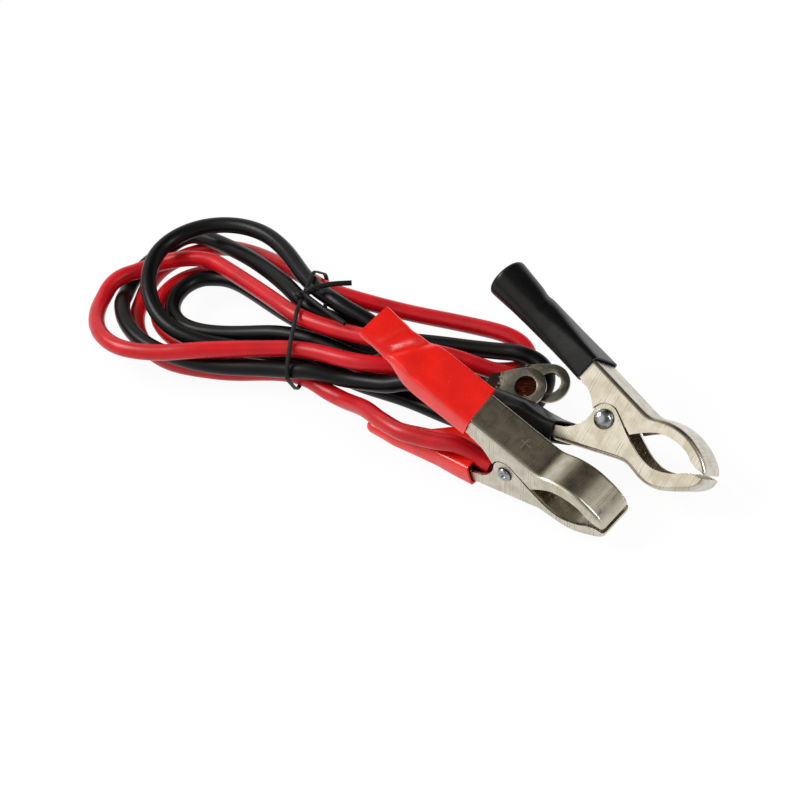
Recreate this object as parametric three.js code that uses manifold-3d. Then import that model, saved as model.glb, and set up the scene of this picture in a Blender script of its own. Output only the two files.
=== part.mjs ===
// A pair of battery leads: red and black cable, a sprung clip on one end of each and a ring
// terminal on the other, folded into one hank under a twist tie. Millimetres, +Z up.
import * as THREE from "three";
import { mergeVertices } from "three/addons/utils/BufferGeometryUtils.js";
import Module from "manifold-3d";

const wasm = await Module();
wasm.setup();

// ---- driving dimensions -------------------------------------------------------------------
const WIDTH = 12.0; // clip arm, over its side plates
const SHEET = 1.0; // steel of the arms
const GAP = 0.3; // between pieces that touch in life
const LEAN = Math.atan2(0.247, 0.969); // handle against the clip's middle plane
const WEB_B = 9.48; // outer face of the handle web, from the hinge axis
const HANDLE_DEPTH = 6.3;
const MOUTH_A = 13.9; // where the boots start, along the handle
const RIVET_R = 2.0;
const HOLE_R = 2.3;
const EAR_R = 4.5;
const WIRE = 1.2; // torsion spring wire
const COIL_R = 3.1;
const COIL_HALF = 2.7;
const CABLE_D = 5.0;
const RING_OUT = 12.0;
const RING_HOLE = 6.4;
const RING_T = 1.0;

// Clip placement: hinge centre, then yaw, pitch (jaw down) and roll in degrees.
// Row origin: middle of the two clips' box, on the floor, in the layout's own coordinates.
const ORIGIN = [52.15, 7.7, 0];
const RED_AT = { at: [54.4, -10.3, 12.46], yaw: 0, pitch: 11.2, roll: 0 };
const BLACK_AT = { at: [69.1, 13.55, 14.53], yaw: -1.06, pitch: 12.0, roll: -48.2 };

// Side outline of the upper arm about the hinge axis: u to the jaw tip, v up.
const WEB_LINE = [[10.5, 7.1], [14.3, 7.9], [19, 8.5], [23.7, 8.0], [27.7, 5.6], [31, 2.9], [31.9, 1.5], [32.3, 0.15]];
const JAW_LINE = [[31.2, 0.15], [30.6, 0.9], [28, 1.9], [25.5, 3.4], [21.5, 4.4], [16, 3.4], [11.5, 1.8], [7.6, 0.15]];
const ARCH_LINE = [[-4.1, 0.15], [-5.7, 2.6], [-7.6, 4.7], [-9.8, 5.5]];

// ---- helpers ------------------------------------------------------------------------------
function solid(geometry) {
  const g = geometry.clone();
  g.deleteAttribute("normal");
  g.deleteAttribute("uv");
  const merged = mergeVertices(g, 1e-4);
  return new wasm.Manifold(
    new wasm.Mesh({
      numProp: 3,
      vertProperties: new Float32Array(merged.attributes.position.array),
      triVerts: new Uint32Array(merged.index.array),
    }),
  );
}

function turned(body, matrix) {
  return body.transform(matrix.elements);
}

function prism(points, s0, s1) {
  const shape = new THREE.Shape(points.map(([x, y]) => new THREE.Vector2(x, y)));
  const g = new THREE.ExtrudeGeometry(shape, { depth: s1 - s0, bevelEnabled: false });
  return solid(g.translate(0, 0, s0));
}

function disc(radius, s0, s1, sides = 24) {
  const g = new THREE.CylinderGeometry(radius, radius, s1 - s0, sides);
  return solid(g.rotateX(Math.PI / 2).translate(0, 0, (s0 + s1) / 2));
}

// Handle frame: x is b (outward), y is a (along the handle, away from the hinge), z is s.
const HANDLE = new THREE.Matrix4().makeBasis(
  new THREE.Vector3(Math.sin(LEAN), Math.cos(LEAN), 0),
  new THREE.Vector3(-Math.cos(LEAN), Math.sin(LEAN), 0),
  new THREE.Vector3(0, 0, 1),
);

function handlePoint(a, b) {
  return [b * Math.sin(LEAN) - a * Math.cos(LEAN), b * Math.cos(LEAN) + a * Math.sin(LEAN)];
}

function handleBox(a0, a1, b0, b1, s0, s1) {
  const g = new THREE.BoxGeometry(b1 - b0, a1 - a0, s1 - s0);
  g.translate((b0 + b1) / 2, (a0 + a1) / 2, (s0 + s1) / 2);
  return turned(solid(g), HANDLE);
}

// A skin through sections [a, middle b, half width s, half depth b, squareness].
function skin(sections, sides = 20) {
  const g = new THREE.CylinderGeometry(1, 1, 1, sides, sections.length - 1);
  const p = g.attributes.position;
  const bend = (v, n) => (Math.abs(v) < 1e-6 ? 0 : Math.sign(v) * Math.abs(v) ** (2 / n));
  for (let i = 0; i < p.count; i++) {
    const [a, mid, halfS, halfB, n] = sections[Math.round((p.getY(i) + 0.5) * (sections.length - 1))];
    const r = Math.hypot(p.getX(i), p.getZ(i));
    const x = r > 0.5 ? bend(p.getX(i), n) * halfB : 0;
    const z = r > 0.5 ? bend(p.getZ(i), n) * halfS : 0;
    p.setXYZ(i, mid + x, a, z);
  }
  return turned(solid(g), HANDLE);
}

function tube(curve, steps, sides, radius) {
  const shape = new THREE.Shape();
  for (let i = 0; i < sides; i++) {
    const w = (i * 2 * Math.PI) / sides;
    const at = [radius * Math.cos(w), radius * Math.sin(w)];
    if (i) shape.lineTo(...at);
    else shape.moveTo(...at);
  }
  const g = new THREE.ExtrudeGeometry(shape, { steps, extrudePath: curve, bevelEnabled: false });
  const made = solid(g);
  return made.volume() < 0 ? made.mirror([1, 0, 0]).mirror([1, 0, 0]) : made;
}

class Piece extends THREE.Curve {
  constructor(whole, from, to) {
    super();
    this.whole = whole;
    this.from = from;
    this.to = to;
  }
  getPoint(t, target = new THREE.Vector3()) {
    return target.copy(this.whole.getPointAt(this.from + (this.to - this.from) * t));
  }
}

function through(points) {
  const curve = new THREE.CatmullRomCurve3(
    points.map((p) => new THREE.Vector3(...p)),
    false,
    "centripetal",
  );
  curve.arcLengthDivisions = 2000;
  return curve;
}

const group = new THREE.Group();
const LOOKS = {
  steel: { color: 0xb9b3a6, metalness: 1, roughness: 0.35 },
  red_boot: { color: 0xe02418, metalness: 0, roughness: 0.3 },
  black_boot: { color: 0x17171a, metalness: 0, roughness: 0.4 },
  red_cable: { color: 0xb8121c, metalness: 0, roughness: 0.4 },
  black_cable: { color: 0x141416, metalness: 0, roughness: 0.45 },
  copper: { color: 0x9a5a3a, metalness: 1, roughness: 0.45 },
  tie: { color: 0x0e0e10, metalness: 0, roughness: 0.55 },
};

function add(name, body, look, matrix) {
  const laid = matrix ? turned(body, matrix) : body;
  const placed = laid.translate(ORIGIN.map((v) => -v));
  const m = placed.getMesh();
  const g = new THREE.BufferGeometry();
  g.setAttribute("position", new THREE.BufferAttribute(new Float32Array(m.vertProperties), 3));
  g.setIndex(new THREE.BufferAttribute(new Uint32Array(m.triVerts), 1));
  g.computeVertexNormals();
  const mesh = new THREE.Mesh(g, new THREE.MeshStandardMaterial(LOOKS[look]));
  mesh.name = name;
  group.add(mesh);
}

// ---- the clip -----------------------------------------------------------------------------
function offsetIn(line, d) {
  return line.map(([x, y], i) => {
    const [ax, ay] = line[Math.max(i - 1, 0)];
    const [bx, by] = line[Math.min(i + 1, line.length - 1)];
    const len = Math.hypot(bx - ax, by - ay);
    return [x + ((by - ay) / len) * d, y - ((bx - ax) / len) * d];
  });
}

// Upper arm without its ears: a channel bent from sheet, open on the inner side.
function channel(endA) {
  const web = [handlePoint(endA, WEB_B), ...WEB_LINE];
  const inner = [handlePoint(MOUTH_A, WEB_B - HANDLE_DEPTH), handlePoint(endA, WEB_B - HANDLE_DEPTH)];
  const side = [...web, ...JAW_LINE, ...ARCH_LINE, ...inner];
  const hollow = offsetIn([handlePoint(endA + 9, WEB_B), ...WEB_LINE], SHEET);
  hollow[hollow.length - 1][1] = -0.5;
  const room = [...hollow, [31, -30], [-60, -30], [-60, hollow[0][1]]];
  const body = prism(side, -WIDTH / 2, WIDTH / 2);
  return body.subtract(prism(room, SHEET - WIDTH / 2, WIDTH / 2 - SHEET));
}

function upperArm(endA, mark) {
  const half = WIDTH / 2;
  let body = channel(endA);
  const outline = prism([...WEB_LINE, ...JAW_LINE, ...ARCH_LINE, handlePoint(MOUTH_A, WEB_B)], -20, 20);
  for (const sign of [1, -1]) {
    const span = (a, b) => (sign > 0 ? [a, b] : [-b, -a]);
    body = body.subtract(disc(5.0, ...span(half - SHEET - 0.05, half + 1), 32));
    const step = disc(6.2, ...span(3.7, 5.05), 32).intersect(outline);
    const ear = disc(EAR_R - 0.1, ...span(3.7, 4.7));
    body = body.add(step.subtract(disc(5.0, ...span(4.7, 6), 32)).add(ear));
  }
  body = body.subtract(disc(HOLE_R, -9, 9, 16));
  if (mark) {
    const plus = handleBox(-1.6, 1.6, WEB_B - 0.25, WEB_B + 1, -0.35, 0.35);
    body = body.subtract(plus.add(handleBox(-0.35, 0.35, WEB_B - 0.25, WEB_B + 1, -1.6, 1.6)));
  }
  return body;
}

function lowerArm(endA) {
  const ears = disc(EAR_R, -WIDTH / 2, WIDTH / 2).subtract(disc(EAR_R + 1, SHEET - WIDTH / 2, WIDTH / 2 - SHEET));
  return channel(endA).mirror([0, 1, 0]).add(ears).subtract(disc(HOLE_R, -9, 9, 16));
}

// Round-head rivet, head towards +s, its rolled end towards -s.
function rivet() {
  const out = WIDTH / 2 + GAP;
  const line = [
    [0, -out + 0.6], [0.9, -out + 0.4], [1.4, -out - 1.0], [2.2, -out - 1.1], [2.6, -out - 0.7], [2.6, -out],
    [RIVET_R, -out], [RIVET_R, out], [2.8, out], [2.8, out + 0.35], [2.45, out + 0.95], [1.7, out + 1.4], [0, out + 1.65],
  ];
  const g = new THREE.LatheGeometry(line.map(([x, y]) => new THREE.Vector2(x, y)), 20);
  return solid(g.rotateX(Math.PI / 2));
}

// Torsion spring: leg, coil about the rivet, leg.
function spring() {
  const start = (61.5 * Math.PI) / 180;
  const turns = 4 * 2 * Math.PI + 2 * start;
  const leg = 17.5;
  const points = [];
  const top = [COIL_R * Math.cos(start), COIL_R * Math.sin(start)];
  const along = [-Math.sin(start), Math.cos(start)];
  const legs = [1, 0.75, 0.5, 0.25, 0.1];
  for (const k of legs) points.push([top[0] + along[0] * leg * k, top[1] + along[1] * leg * k, COIL_HALF]);
  const steps = 35;
  for (let i = 0; i <= steps; i++) {
    const w = start - (turns * i) / steps;
    points.push([COIL_R * Math.cos(w), COIL_R * Math.sin(w), COIL_HALF * (1 - (2 * i) / steps)]);
  }
  for (const k of [...legs].reverse()) {
    points.push([top[0] + along[0] * leg * k, -top[1] - along[1] * leg * k, -COIL_HALF]);
  }
  return tube(through(points), 52, 5, WIRE / 2);
}

const PIPE_BOOT = [
  [MOUTH_A, 6.33, 7.2, 4.3, 8], [20, 6.33, 7.2, 4.4, 8], [28.5, 6.25, 7.0, 4.6, 7], [31, 6.1, 6.5, 4.8, 3.6],
  [34, 6.0, 6.0, 4.9, 2.6], [42, 5.9, 5.6, 5.1, 2.2], [50, 5.9, 5.6, 5.3, 2], [51.2, 5.9, 5.1, 4.8, 2],
  [51.7, 5.9, 4.0, 3.8, 2],
];
const FLAT_BOOT = [
  [MOUTH_A, 6.33, 7.2, 4.3, 8], [20, 6.33, 7.2, 4.35, 8], [37, 6.5, 7.2, 4.35, 7], [41, 7.2, 7.0, 3.7, 5],
  [46, 8.4, 6.9, 2.5, 5], [51, 9.4, 6.8, 1.5, 5], [52, 9.6, 6.5, 1.2, 4],
];
const FLAT_LOW_BOOT = [
  [MOUTH_A, 6.33, 7.2, 4.3, 8], [20, 6.33, 7.2, 4.35, 8], [37, 6.2, 7.2, 4.2, 7], [41, 6.0, 7.1, 3.5, 5],
  [47, 5.9, 7.0, 2.1, 5], [51, 5.9, 6.9, 1.5, 5], [52, 5.9, 6.6, 1.2, 4],
];

function boot(sections, endA) {
  const half = WIDTH / 2 + GAP;
  const pocket = handleBox(MOUTH_A - 5, endA + 0.6, WEB_B - HANDLE_DEPTH - GAP, WEB_B + GAP, -half, half);
  return skin(sections).subtract(pocket);
}

function placement({ at, yaw, pitch, roll }) {
  const deg = Math.PI / 180;
  const turn = new THREE.Matrix4().makeRotationFromEuler(
    new THREE.Euler(roll * deg, pitch * deg, yaw * deg, "ZYX"),
  );
  const base = new THREE.Matrix4().makeBasis(
    new THREE.Vector3(1, 0, 0),
    new THREE.Vector3(0, 0, 1),
    new THREE.Vector3(0, -1, 0),
  );
  return new THREE.Matrix4().makeTranslation(...at).multiply(turn).multiply(base);
}

const RED = placement(RED_AT);
const BLACK = placement(BLACK_AT);
const FLIP = [0, 1, 0];

// Straight bore for the black lead, out through the tail of its boot.
const leadBore = handleBox(20, 60, 5.7 - 2.9, 5.7 + 2.9, -2.9, 2.9);
// Slot in the red lower boot where its lead drops into the handle.
const leadSlot = handleBox(MOUTH_A - 2, 23, 0, 5, -3.2, 5.9);

// ---- cable routes, from each clip to its ring terminal -------------------------------------
// Inside each clip: a along the lower handle, b out from the hinge axis, s across.
const RED_START = [
  [9.5, 5.5, 1.4], [13, 4.3, 1.4], [17, 1.8, 1.6], [20.6, -0.45, 2.3], [25, -1.1, 3.6], [31, -1.2, 5.6]
];
const BLACK_START = [
  [9.5, 5.75, 1.2], [14, 5.75, 1.1], [20, 5.7, 0.7], [27, 5.7, 0.2], [34, 5.7, 0], [42, 5.7, 0], [50, 5.7, 0], [56, 5.7, 0]
];
const RED_ROUTE = [
  [17.6, -17.6, 11.4],
  [9, -16.8, 10], [0.5, -14.4, 7.9], [-9, -12, 4.6], [-19, -10.4, 2.7],
  [-29.9, -9.4, 2.6], [-38, -13.0, 2.6], [-48, -17.6, 2.6], [-60, -22.6, 2.6], [-71, -25.4, 2.6], [-82, -24, 2.6],
  [-91, -19.4, 2.6], [-98.6, -11.6, 2.6], [-103, -2, 2.6], [-104.4, 8, 2.6], [-101, 17, 3], [-93, 21.8, 4], [-82, 23.6, 5],
  [-71, 22.6, 7], [-60, 20.4, 9.6], [-50, 18, 12.2],
  [-40.3, 15.6, 13.6], [-31, 17.4, 12.6], [-22, 20.6, 10.6], [-12, 24, 9], [-2, 27.6, 8], [8, 30.4, 7.5],
  [16, 32.6, 7.2], [22.4, 33.2, 6], [27, 31.4, 3.8], [27.6, 27, 2.6], [23, 22.8, 2.6], [14, 19.6, 2.6], [4, 17.2, 2.6],
  [-6, 14.2, 2.6],
  [-16, 11.2, 2.6], [-27, 8.8, 2.6],
  [-36.9, 7.7, 2.6], [-48, 8.6, 2.6], [-60, 11, 2.6], [-72, 13.6, 2.6], [-83, 14, 2.6], [-92, 10, 2.6],
  [-95.6, 2, 2.6], [-94, -6.6, 2.6], [-87.6, -13.4, 2.6], [-77, -17, 2.6], [-66, -15.8, 2.6], [-54, -11.4, 2.6],
  [-43, -6.6, 2.6],
  [-33.4, -1.6, 2.6], [-24, 1.6, 2.6], [-14, 3.8, 2.6], [-5, 5.4, 3], [2.4, 5.4, 5.8], [4, 3.2, 10], [-1, -0.4, 13.2],
  [-10, -4, 13.8], [-20, -5.6, 13.2],
  [-30.5, -7.2, 12.6], [-41, -13.4, 12.6], [-52, -20.6, 12.6], [-62, -27, 12.6], [-71, -32, 12.6], [-80.4, -34.8, 12.4],
  [-90, -33, 11.6], [-98.4, -27.6, 10], [-104.4, -20, 8.2], [-106.4, -12, 7.9], [-105, -4, 7.9], [-100, 3.4, 8.4], [-93, 8, 10],
  [-83, 9.4, 12], [-72, 7.6, 13.4], [-60, 5.2, 14.6], [-50, 3, 15.8], [-41, 0.8, 16.9],
  [-33.4, -0.2, 17.2], [-24, 0.8, 17.2], [-14, 2.8, 17], [-4, 6.2, 16], [5, 10.2, 13.6], [13, 14, 10.6], [20.4, 17.4, 7.6],
  [27.4, 19.3, 6.2]
];
const BLACK_ROUTE = [
  [9, -1.2, 12.4], [3, -2.8, 10.9], [-4, -4.6, 9.1], [-12, -6.8, 7.9], [-20, -9, 7.8],
  [-28.9, -12, 7.8], [-38, -15.6, 7.9], [-48, -20.2, 8], [-58, -24, 8], [-67, -26, 8], [-77, -26.6, 8], [-86, -24.6, 8],
  [-94.6, -20.2, 7.8], [-101.4, -13.8, 6.8], [-107, -5, 3.6], [-110, 3, 2.7], [-108, 12, 2.8], [-103, 18.4, 6.6],
  [-94, 19, 9], [-83, 18.4, 10], [-72, 16.6, 11.6], [-60, 13.4, 13.6], [-48, 9.2, 16],
  [-35.6, 5.4, 17], [-28, 6.8, 14.4], [-20, 9.6, 10.8], [-10, 13, 8.4], [-1, 17, 7.6], [8, 20.6, 7.6], [18, 24.4, 7.7],
  [26, 27.8, 7.6], [33, 28.8, 7], [37.6, 26, 5.4], [38.8, 21, 3.7], [38.8, 15.6, 2.7], [37.6, 10.4, 2.6], [34.6, 5.6, 2.6],
  [29.8, 2, 2.6], [23, 0, 2.6], [14, -0.1, 2.6], [5, -0.2, 2.6], [-5, -1.6, 2.7], [-13, -3.2, 2.9], [-21, -4.2, 5],
  [-31.2, -5.4, 7.4], [-42, -9.8, 7.8], [-53, -14.8, 9], [-64, -19, 10.4], [-75, -19.6, 12], [-85.4, -15, 14],
  [-93.4, -7, 15.6], [-97, 2, 16.8], [-94.4, 11.6, 17.4], [-88, 18.6, 17.6], [-79, 22.6, 17.7], [-69, 23.2, 17.7],
  [-58, 20, 17.6], [-48, 15, 17.4],
  [-37.8, 10.2, 17.4], [-30, 8.2, 18.4], [-22, 8.8, 18], [-13, 9.4, 16.4], [-6, 8.4, 13.6], [-4.6, 4.6, 10.4], [-9, 1.2, 9],
  [-17, 0.2, 9.8], [-25, -0.8, 11],
  [-32.8, -1.8, 11.6], [-43, -4, 10.6], [-54, -8.6, 8.6], [-64, -12.8, 7.8], [-73, -15, 7.6], [-81.4, -12.4, 7.6],
  [-86, -6.4, 7.6], [-87, 0.8, 7.6], [-84, 7, 7.6], [-76, 9.6, 7.6], [-66, 8.6, 7.6], [-55, 6.8, 7.6], [-45, 5.6, 7.6],
  [-35.8, 5.1, 7.5], [-25, 5.6, 7.5], [-14, 7.2, 7.5], [-3, 8.8, 7.6], [8, 9.8, 7.5], [16.4, 10.2, 7.2], [23.9, 12.1, 6.8]
];

// ---- cables -------------------------------------------------------------------------------
const TIE_AT = [-28.9, -12.85]; // a point on the tie's plane, and the hank's direction
const HANK_WAY = [0.911, 0.412];
const STEP = 2.5; // spacing of the points that settle
const CLEAR = 5.78; // between centre lines, a little over one diameter
const ROUNDS = 200;
const HELD = { red: 62, black: 56 }; // length from the clip that stays where it was chosen

function beads(name, route, held) {
  const curve = through(route);
  const length = curve.getLength();
  const count = Math.round(length / STEP);
  const list = [];
  for (let i = 0; i <= count; i++) {
    const at = curve.getPointAt(i / count).toArray();
    const along = (i * length) / count;
    list.push({ name, along, at, home: [...at], fixed: along < held || i === count });
  }
  return list;
}

// Signed distance from the tie's plane, positive towards the clips.
function tieDistance([x, y]) {
  return (x - TIE_AT[0]) * HANK_WAY[0] + (y - TIE_AT[1]) * HANK_WAY[1];
}

// Lowest centre line: on the floor, but over the strap at the tie.
function lowest(at) {
  const near = Math.max(0, 1 - Math.max(0, Math.abs(tieDistance(at)) - 4) / 22);
  return CABLE_D / 2 + 0.08 + 1.35 * near * near * (3 - 2 * near);
}

// Cables laid by eye, let settle: each point keeps near its place, bends ease, and any two
// runs closer than a diameter move apart.
function settle(all) {
  for (let round = 0; round < ROUNDS; round++) {
    const before = all.map((b) => [...b.at]);
    all.forEach((b, i) => {
      const prev = all[i - 1];
      const next = all[i + 1];
      if (b.fixed || !prev || !next || prev.name !== b.name || next.name !== b.name) return;
      for (let k = 0; k < 3; k++) {
        const ease = (before[i - 1][k] + before[i + 1][k]) / 2 - before[i][k];
        b.at[k] += 0.3 * ease + 0.05 * (b.home[k] - before[i][k]);
      }
    });
    for (let i = 0; i < all.length; i++) {
      for (let j = i + 4; j < all.length; j++) {
        const p = all[i];
        const q = all[j];
        if (p.name === q.name && q.along - p.along < 16) continue;
        const d = [q.at[0] - p.at[0], q.at[1] - p.at[1], q.at[2] - p.at[2]];
        const gap = Math.hypot(...d);
        if (gap >= CLEAR || (p.fixed && q.fixed)) continue;
        const share = (0.5 * (CLEAR - gap)) / gap / (p.fixed || q.fixed ? 1 : 2);
        for (let k = 0; k < 3; k++) {
          if (!p.fixed) p.at[k] -= share * d[k];
          if (!q.fixed) q.at[k] += share * d[k];
        }
      }
    }
    for (const b of all) b.at[2] = Math.max(b.at[2], lowest(b.at));
  }
}

function inClip(matrix, [a, b, s]) {
  const [u, v] = handlePoint(a, b);
  return new THREE.Vector3(u, -v, s).applyMatrix4(matrix).toArray();
}

const red = beads("red", [...RED_START.map((p) => inClip(RED, p)), ...RED_ROUTE], HELD.red);
const black = beads("black", [...BLACK_START.map((p) => inClip(BLACK, p)), ...BLACK_ROUTE], HELD.black);
const cables = [...red, ...black];
settle(cables);

function leastGap(list) {
  let least = Infinity;
  for (let i = 0; i < list.length; i++) {
    for (let j = i + 4; j < list.length; j++) {
      if (list[i].name === list[j].name && list[j].along - list[i].along < 16) continue;
      const d = Math.hypot(...list[i].at.map((v, k) => v - list[j].at[k]));
      least = Math.min(least, d);
    }
  }
  return least - CABLE_D;
}
console.log("least gap between runs, mm:", leastGap(cables).toFixed(2));

// Splits a cable where the hank begins and ends, with a gap between the pieces.
function pieces(list) {
  const curve = through(list.map((b) => b.at));
  const length = curve.getLength();
  const where = (side) => {
    const count = 1500;
    const beyond = (i) => tieDistance(curve.getPointAt(i / count).toArray()) < -side;
    let i = 0;
    while (!beyond(i)) i++;
    let j = count;
    while (!beyond(j)) j--;
    return [(i / count) * length, (j / count) * length];
  };
  const [start, end] = where(5);
  const part = (from, to) => new Piece(curve, from / length, to / length);
  return {
    lead: [part(0, start - GAP / 2), start],
    hank: [part(start + GAP / 2, end - GAP / 2), end - start],
    tail: [part(end + GAP / 2, length), length - end],
    curve,
    length,
  };
}

const parts = { red: pieces(red), black: pieces(black) };

function cord([curve, length], sides, step) {
  return tube(curve, Math.ceil(length / step), sides, CABLE_D / 2);
}

// ---- ring terminals -----------------------------------------------------------------------
// Local frame: eye centre at the origin, barrel towards -x, flat side up.
function ringTerminal() {
  const half = RING_T / 2;
  const eye = disc(RING_OUT / 2, -half, half, 32);
  const neck = prism([[-2, 5.4], [-5, 3.4], [-7, 2.9], [-11.2, 2.6], [-11.2, -2.6], [-7, -2.9], [-5, -3.4], [-2, -5.4]], -half, half);
  const round = (r, x0, x1) => {
    const g = new THREE.CylinderGeometry(r, r, x1 - x0, 20);
    return solid(g.rotateZ(Math.PI / 2).translate((x0 + x1) / 2, 0, -BARREL_DOWN));
  };
  const body = eye.add(neck).add(round(2.9, -11.2, -6.2)).subtract(disc(RING_HOLE / 2, -5, 5, 32));
  return body.subtract(round(1.9, -12, -5));
}

const BARREL_DOWN = 2.5;

function ringPlace(at, way, tilt) {
  const x = new THREE.Vector3(...way).normalize();
  const z = new THREE.Vector3(...tilt).addScaledVector(x, -new THREE.Vector3(...tilt).dot(x)).normalize();
  const y = new THREE.Vector3().crossVectors(z, x);
  return new THREE.Matrix4().makeBasis(x, y, z).setPosition(...at);
}

function strand(from, to, radius) {
  const line = new THREE.LineCurve3(new THREE.Vector3(...from), new THREE.Vector3(...to));
  return tube(line, 1, 12, radius);
}

// Bare end of a cable inside the lower handle, in the handle's a, b, s.
function strandIn(from, to) {
  const flat = ([a, b, s]) => {
    const [u, v] = handlePoint(a, b);
    return [u, -v, s];
  };
  return strand(flat(from), flat(to), 1.3);
}

const RED_RING = ringPlace([40.3, 21.3, 7.95], [0.97, 0.2, -0.1], [0.2, -0.3, 0.93]);
const BLACK_RING = ringPlace([36.2, 15.8, 9.35], [0.92, 0.39, -0.05], [0.2, -0.3, 0.93]);
const ringStrand = strand([-12.1, 0, -BARREL_DOWN], [-6.5, 0, -BARREL_DOWN], 1.55);

// ---- twist tie ----------------------------------------------------------------------------
// A band laid round every run that crosses its plane, a knot on top and the two free ends.
function hull(points) {
  const sorted = [...points].sort((p, q) => p[0] - q[0] || p[1] - q[1]);
  const turn = (o, a, b) => (a[0] - o[0]) * (b[1] - o[1]) - (a[1] - o[1]) * (b[0] - o[0]);
  const chain = (list) => {
    const out = [];
    for (const q of list) {
      while (out.length > 1 && turn(out[out.length - 2], out[out.length - 1], q) <= 1e-9) out.pop();
      out.push(q);
    }
    return out.slice(0, -1);
  };
  return [...chain(sorted), ...chain(sorted.reverse())];
}

function around(radius, sides) {
  const list = [];
  for (const { curve } of Object.values(parts)) {
    for (let i = 0; i <= 1200; i++) {
      const at = curve.getPointAt(i / 1200).toArray();
      if (Math.abs(tieDistance(at)) > 1.6) continue;
      const across = -(at[0] - TIE_AT[0]) * HANK_WAY[1] + (at[1] - TIE_AT[1]) * HANK_WAY[0];
      for (let k = 0; k < sides; k++) {
        const w = (2 * Math.PI * (k + 0.5)) / sides;
        list.push([across + radius * Math.cos(w), at[2] + radius * Math.sin(w)]);
      }
    }
  }
  return hull(list);
}

const TIE_ROD = [[-36.6, 5, 21.9], [-34.6, 7.4, 23], [-31, 11.2, 23.1], [-26.6, 15.4, 22.2]];
const TIE_RIBBON = [[-36.6, 5, 21.9], [-33.4, 3.8, 22.6], [-26, 2.6, 22], [-17.6, 1.6, 21.2]];

function twistTie() {
  const outline = (radius) => around(radius, 16).map(([x, y]) => new THREE.Vector2(x, y));
  const shape = new THREE.Shape(outline(CABLE_D / 2 + 1.4));
  shape.holes.push(new THREE.Path(outline(CABLE_D / 2 + 0.75)));
  const g = new THREE.ExtrudeGeometry(shape, { depth: 2.2, bevelEnabled: false }).translate(0, 0, -1.1);
  const frame = new THREE.Matrix4().makeBasis(
    new THREE.Vector3(-HANK_WAY[1], HANK_WAY[0], 0),
    new THREE.Vector3(0, 0, 1),
    new THREE.Vector3(HANK_WAY[0], HANK_WAY[1], 0),
  );
  frame.setPosition(...TIE_AT, 0);
  const ends = [TIE_ROD, TIE_RIBBON].map((points) => tube(through(points), 6, 8, 0.75));
  const knot = solid(new THREE.SphereGeometry(1.5, 12, 8).translate(...TIE_ROD[0]));
  return turned(solid(g), frame).add(knot).add(ends[0]).add(ends[1]);
}

add("red_upper_arm", upperArm(38, true), "steel", RED);
add("red_lower_arm", lowerArm(38), "steel", RED);
add("red_upper_boot", boot(FLAT_BOOT, 38), "red_boot", RED);
add("red_lower_boot", boot(FLAT_LOW_BOOT, 38).subtract(leadSlot).mirror(FLIP), "red_boot", RED);
add("red_rivet", rivet().mirror([0, 0, 1]), "steel", RED);
add("red_spring", spring(), "steel", RED);
add("black_upper_arm", upperArm(28, false), "steel", BLACK);
add("black_lower_arm", lowerArm(28), "steel", BLACK);
add("black_upper_boot", boot(PIPE_BOOT, 28), "black_boot", BLACK);
add("black_lower_boot", boot(PIPE_BOOT, 28).subtract(leadBore).mirror(FLIP), "black_boot", BLACK);
add("black_rivet", rivet(), "steel", BLACK);
add("black_spring", spring(), "steel", BLACK);

for (const [name, at, ring] of [["red", RED, RED_RING], ["black", BLACK, BLACK_RING]]) {
  const { lead, hank, tail } = parts[name];
  add(name + "_clip_lead", cord(lead, 8, 8), name + "_cable");
  add(name + "_hank", cord(hank, 6, 4.6), name + "_cable");
  add(name + "_ring_lead", cord(tail, 8, 8), name + "_cable");
  add(name + "_ring_terminal", ringTerminal(), "steel", ring);
  add(name + "_ring_conductor", ringStrand, "copper", ring);
}
add("red_conductor", strandIn([8.9, 5.8, 1.4], [4.2, 7, 1.4]), "copper", RED);
add("black_conductor", strandIn([8.9, 5.8, 1.2], [4.2, 6.9, 1.2]), "copper", BLACK);
add("twist_tie", twistTie(), "tie");

export default group;
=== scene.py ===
"""A pair of car battery leads on a white floor: two sprung clips, two ring terminals and a tied hank."""
import math

import bmesh
import bpy
from mathutils import Matrix, Vector, kdtree


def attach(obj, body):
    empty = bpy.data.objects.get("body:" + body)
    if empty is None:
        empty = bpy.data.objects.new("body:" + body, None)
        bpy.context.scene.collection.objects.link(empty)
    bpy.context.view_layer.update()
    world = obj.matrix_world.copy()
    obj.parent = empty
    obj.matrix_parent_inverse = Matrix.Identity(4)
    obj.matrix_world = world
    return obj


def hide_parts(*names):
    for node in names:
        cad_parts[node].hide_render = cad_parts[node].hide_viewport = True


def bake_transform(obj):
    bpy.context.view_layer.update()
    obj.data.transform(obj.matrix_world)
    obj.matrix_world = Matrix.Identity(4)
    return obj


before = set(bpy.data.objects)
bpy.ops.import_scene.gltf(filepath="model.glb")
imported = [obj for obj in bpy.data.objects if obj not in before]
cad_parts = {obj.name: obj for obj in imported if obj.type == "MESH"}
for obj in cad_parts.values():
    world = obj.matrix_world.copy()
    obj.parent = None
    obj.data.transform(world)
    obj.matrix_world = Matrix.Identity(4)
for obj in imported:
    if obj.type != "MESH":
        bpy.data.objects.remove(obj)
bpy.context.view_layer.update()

# ---- sizes, in millimetres until a mesh is finished -----------------------------------------
MM = 0.001
ORIGIN = Vector((52.15, 7.7, 0))  # row origin in the layout's own coordinates
WIDTH = 12.0  # clip arm, over its side plates
SHEET = 1.0
FOLD = 1.3  # outer radius where the sheet is folded
LEAN = math.atan2(0.247, 0.969)  # handle against the clip's middle plane
WEB_B = 9.48  # outer face of the handle web, from the hinge axis
MOUTH_A = 13.9  # where the boots start, along the handle
PIN_HOLE_R = 2.3
EAR_ROOM = 4.45  # radius cut out of the upper arm's sides, where the lower arm's ears lie
WIRE = 1.2  # of the spring
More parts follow.
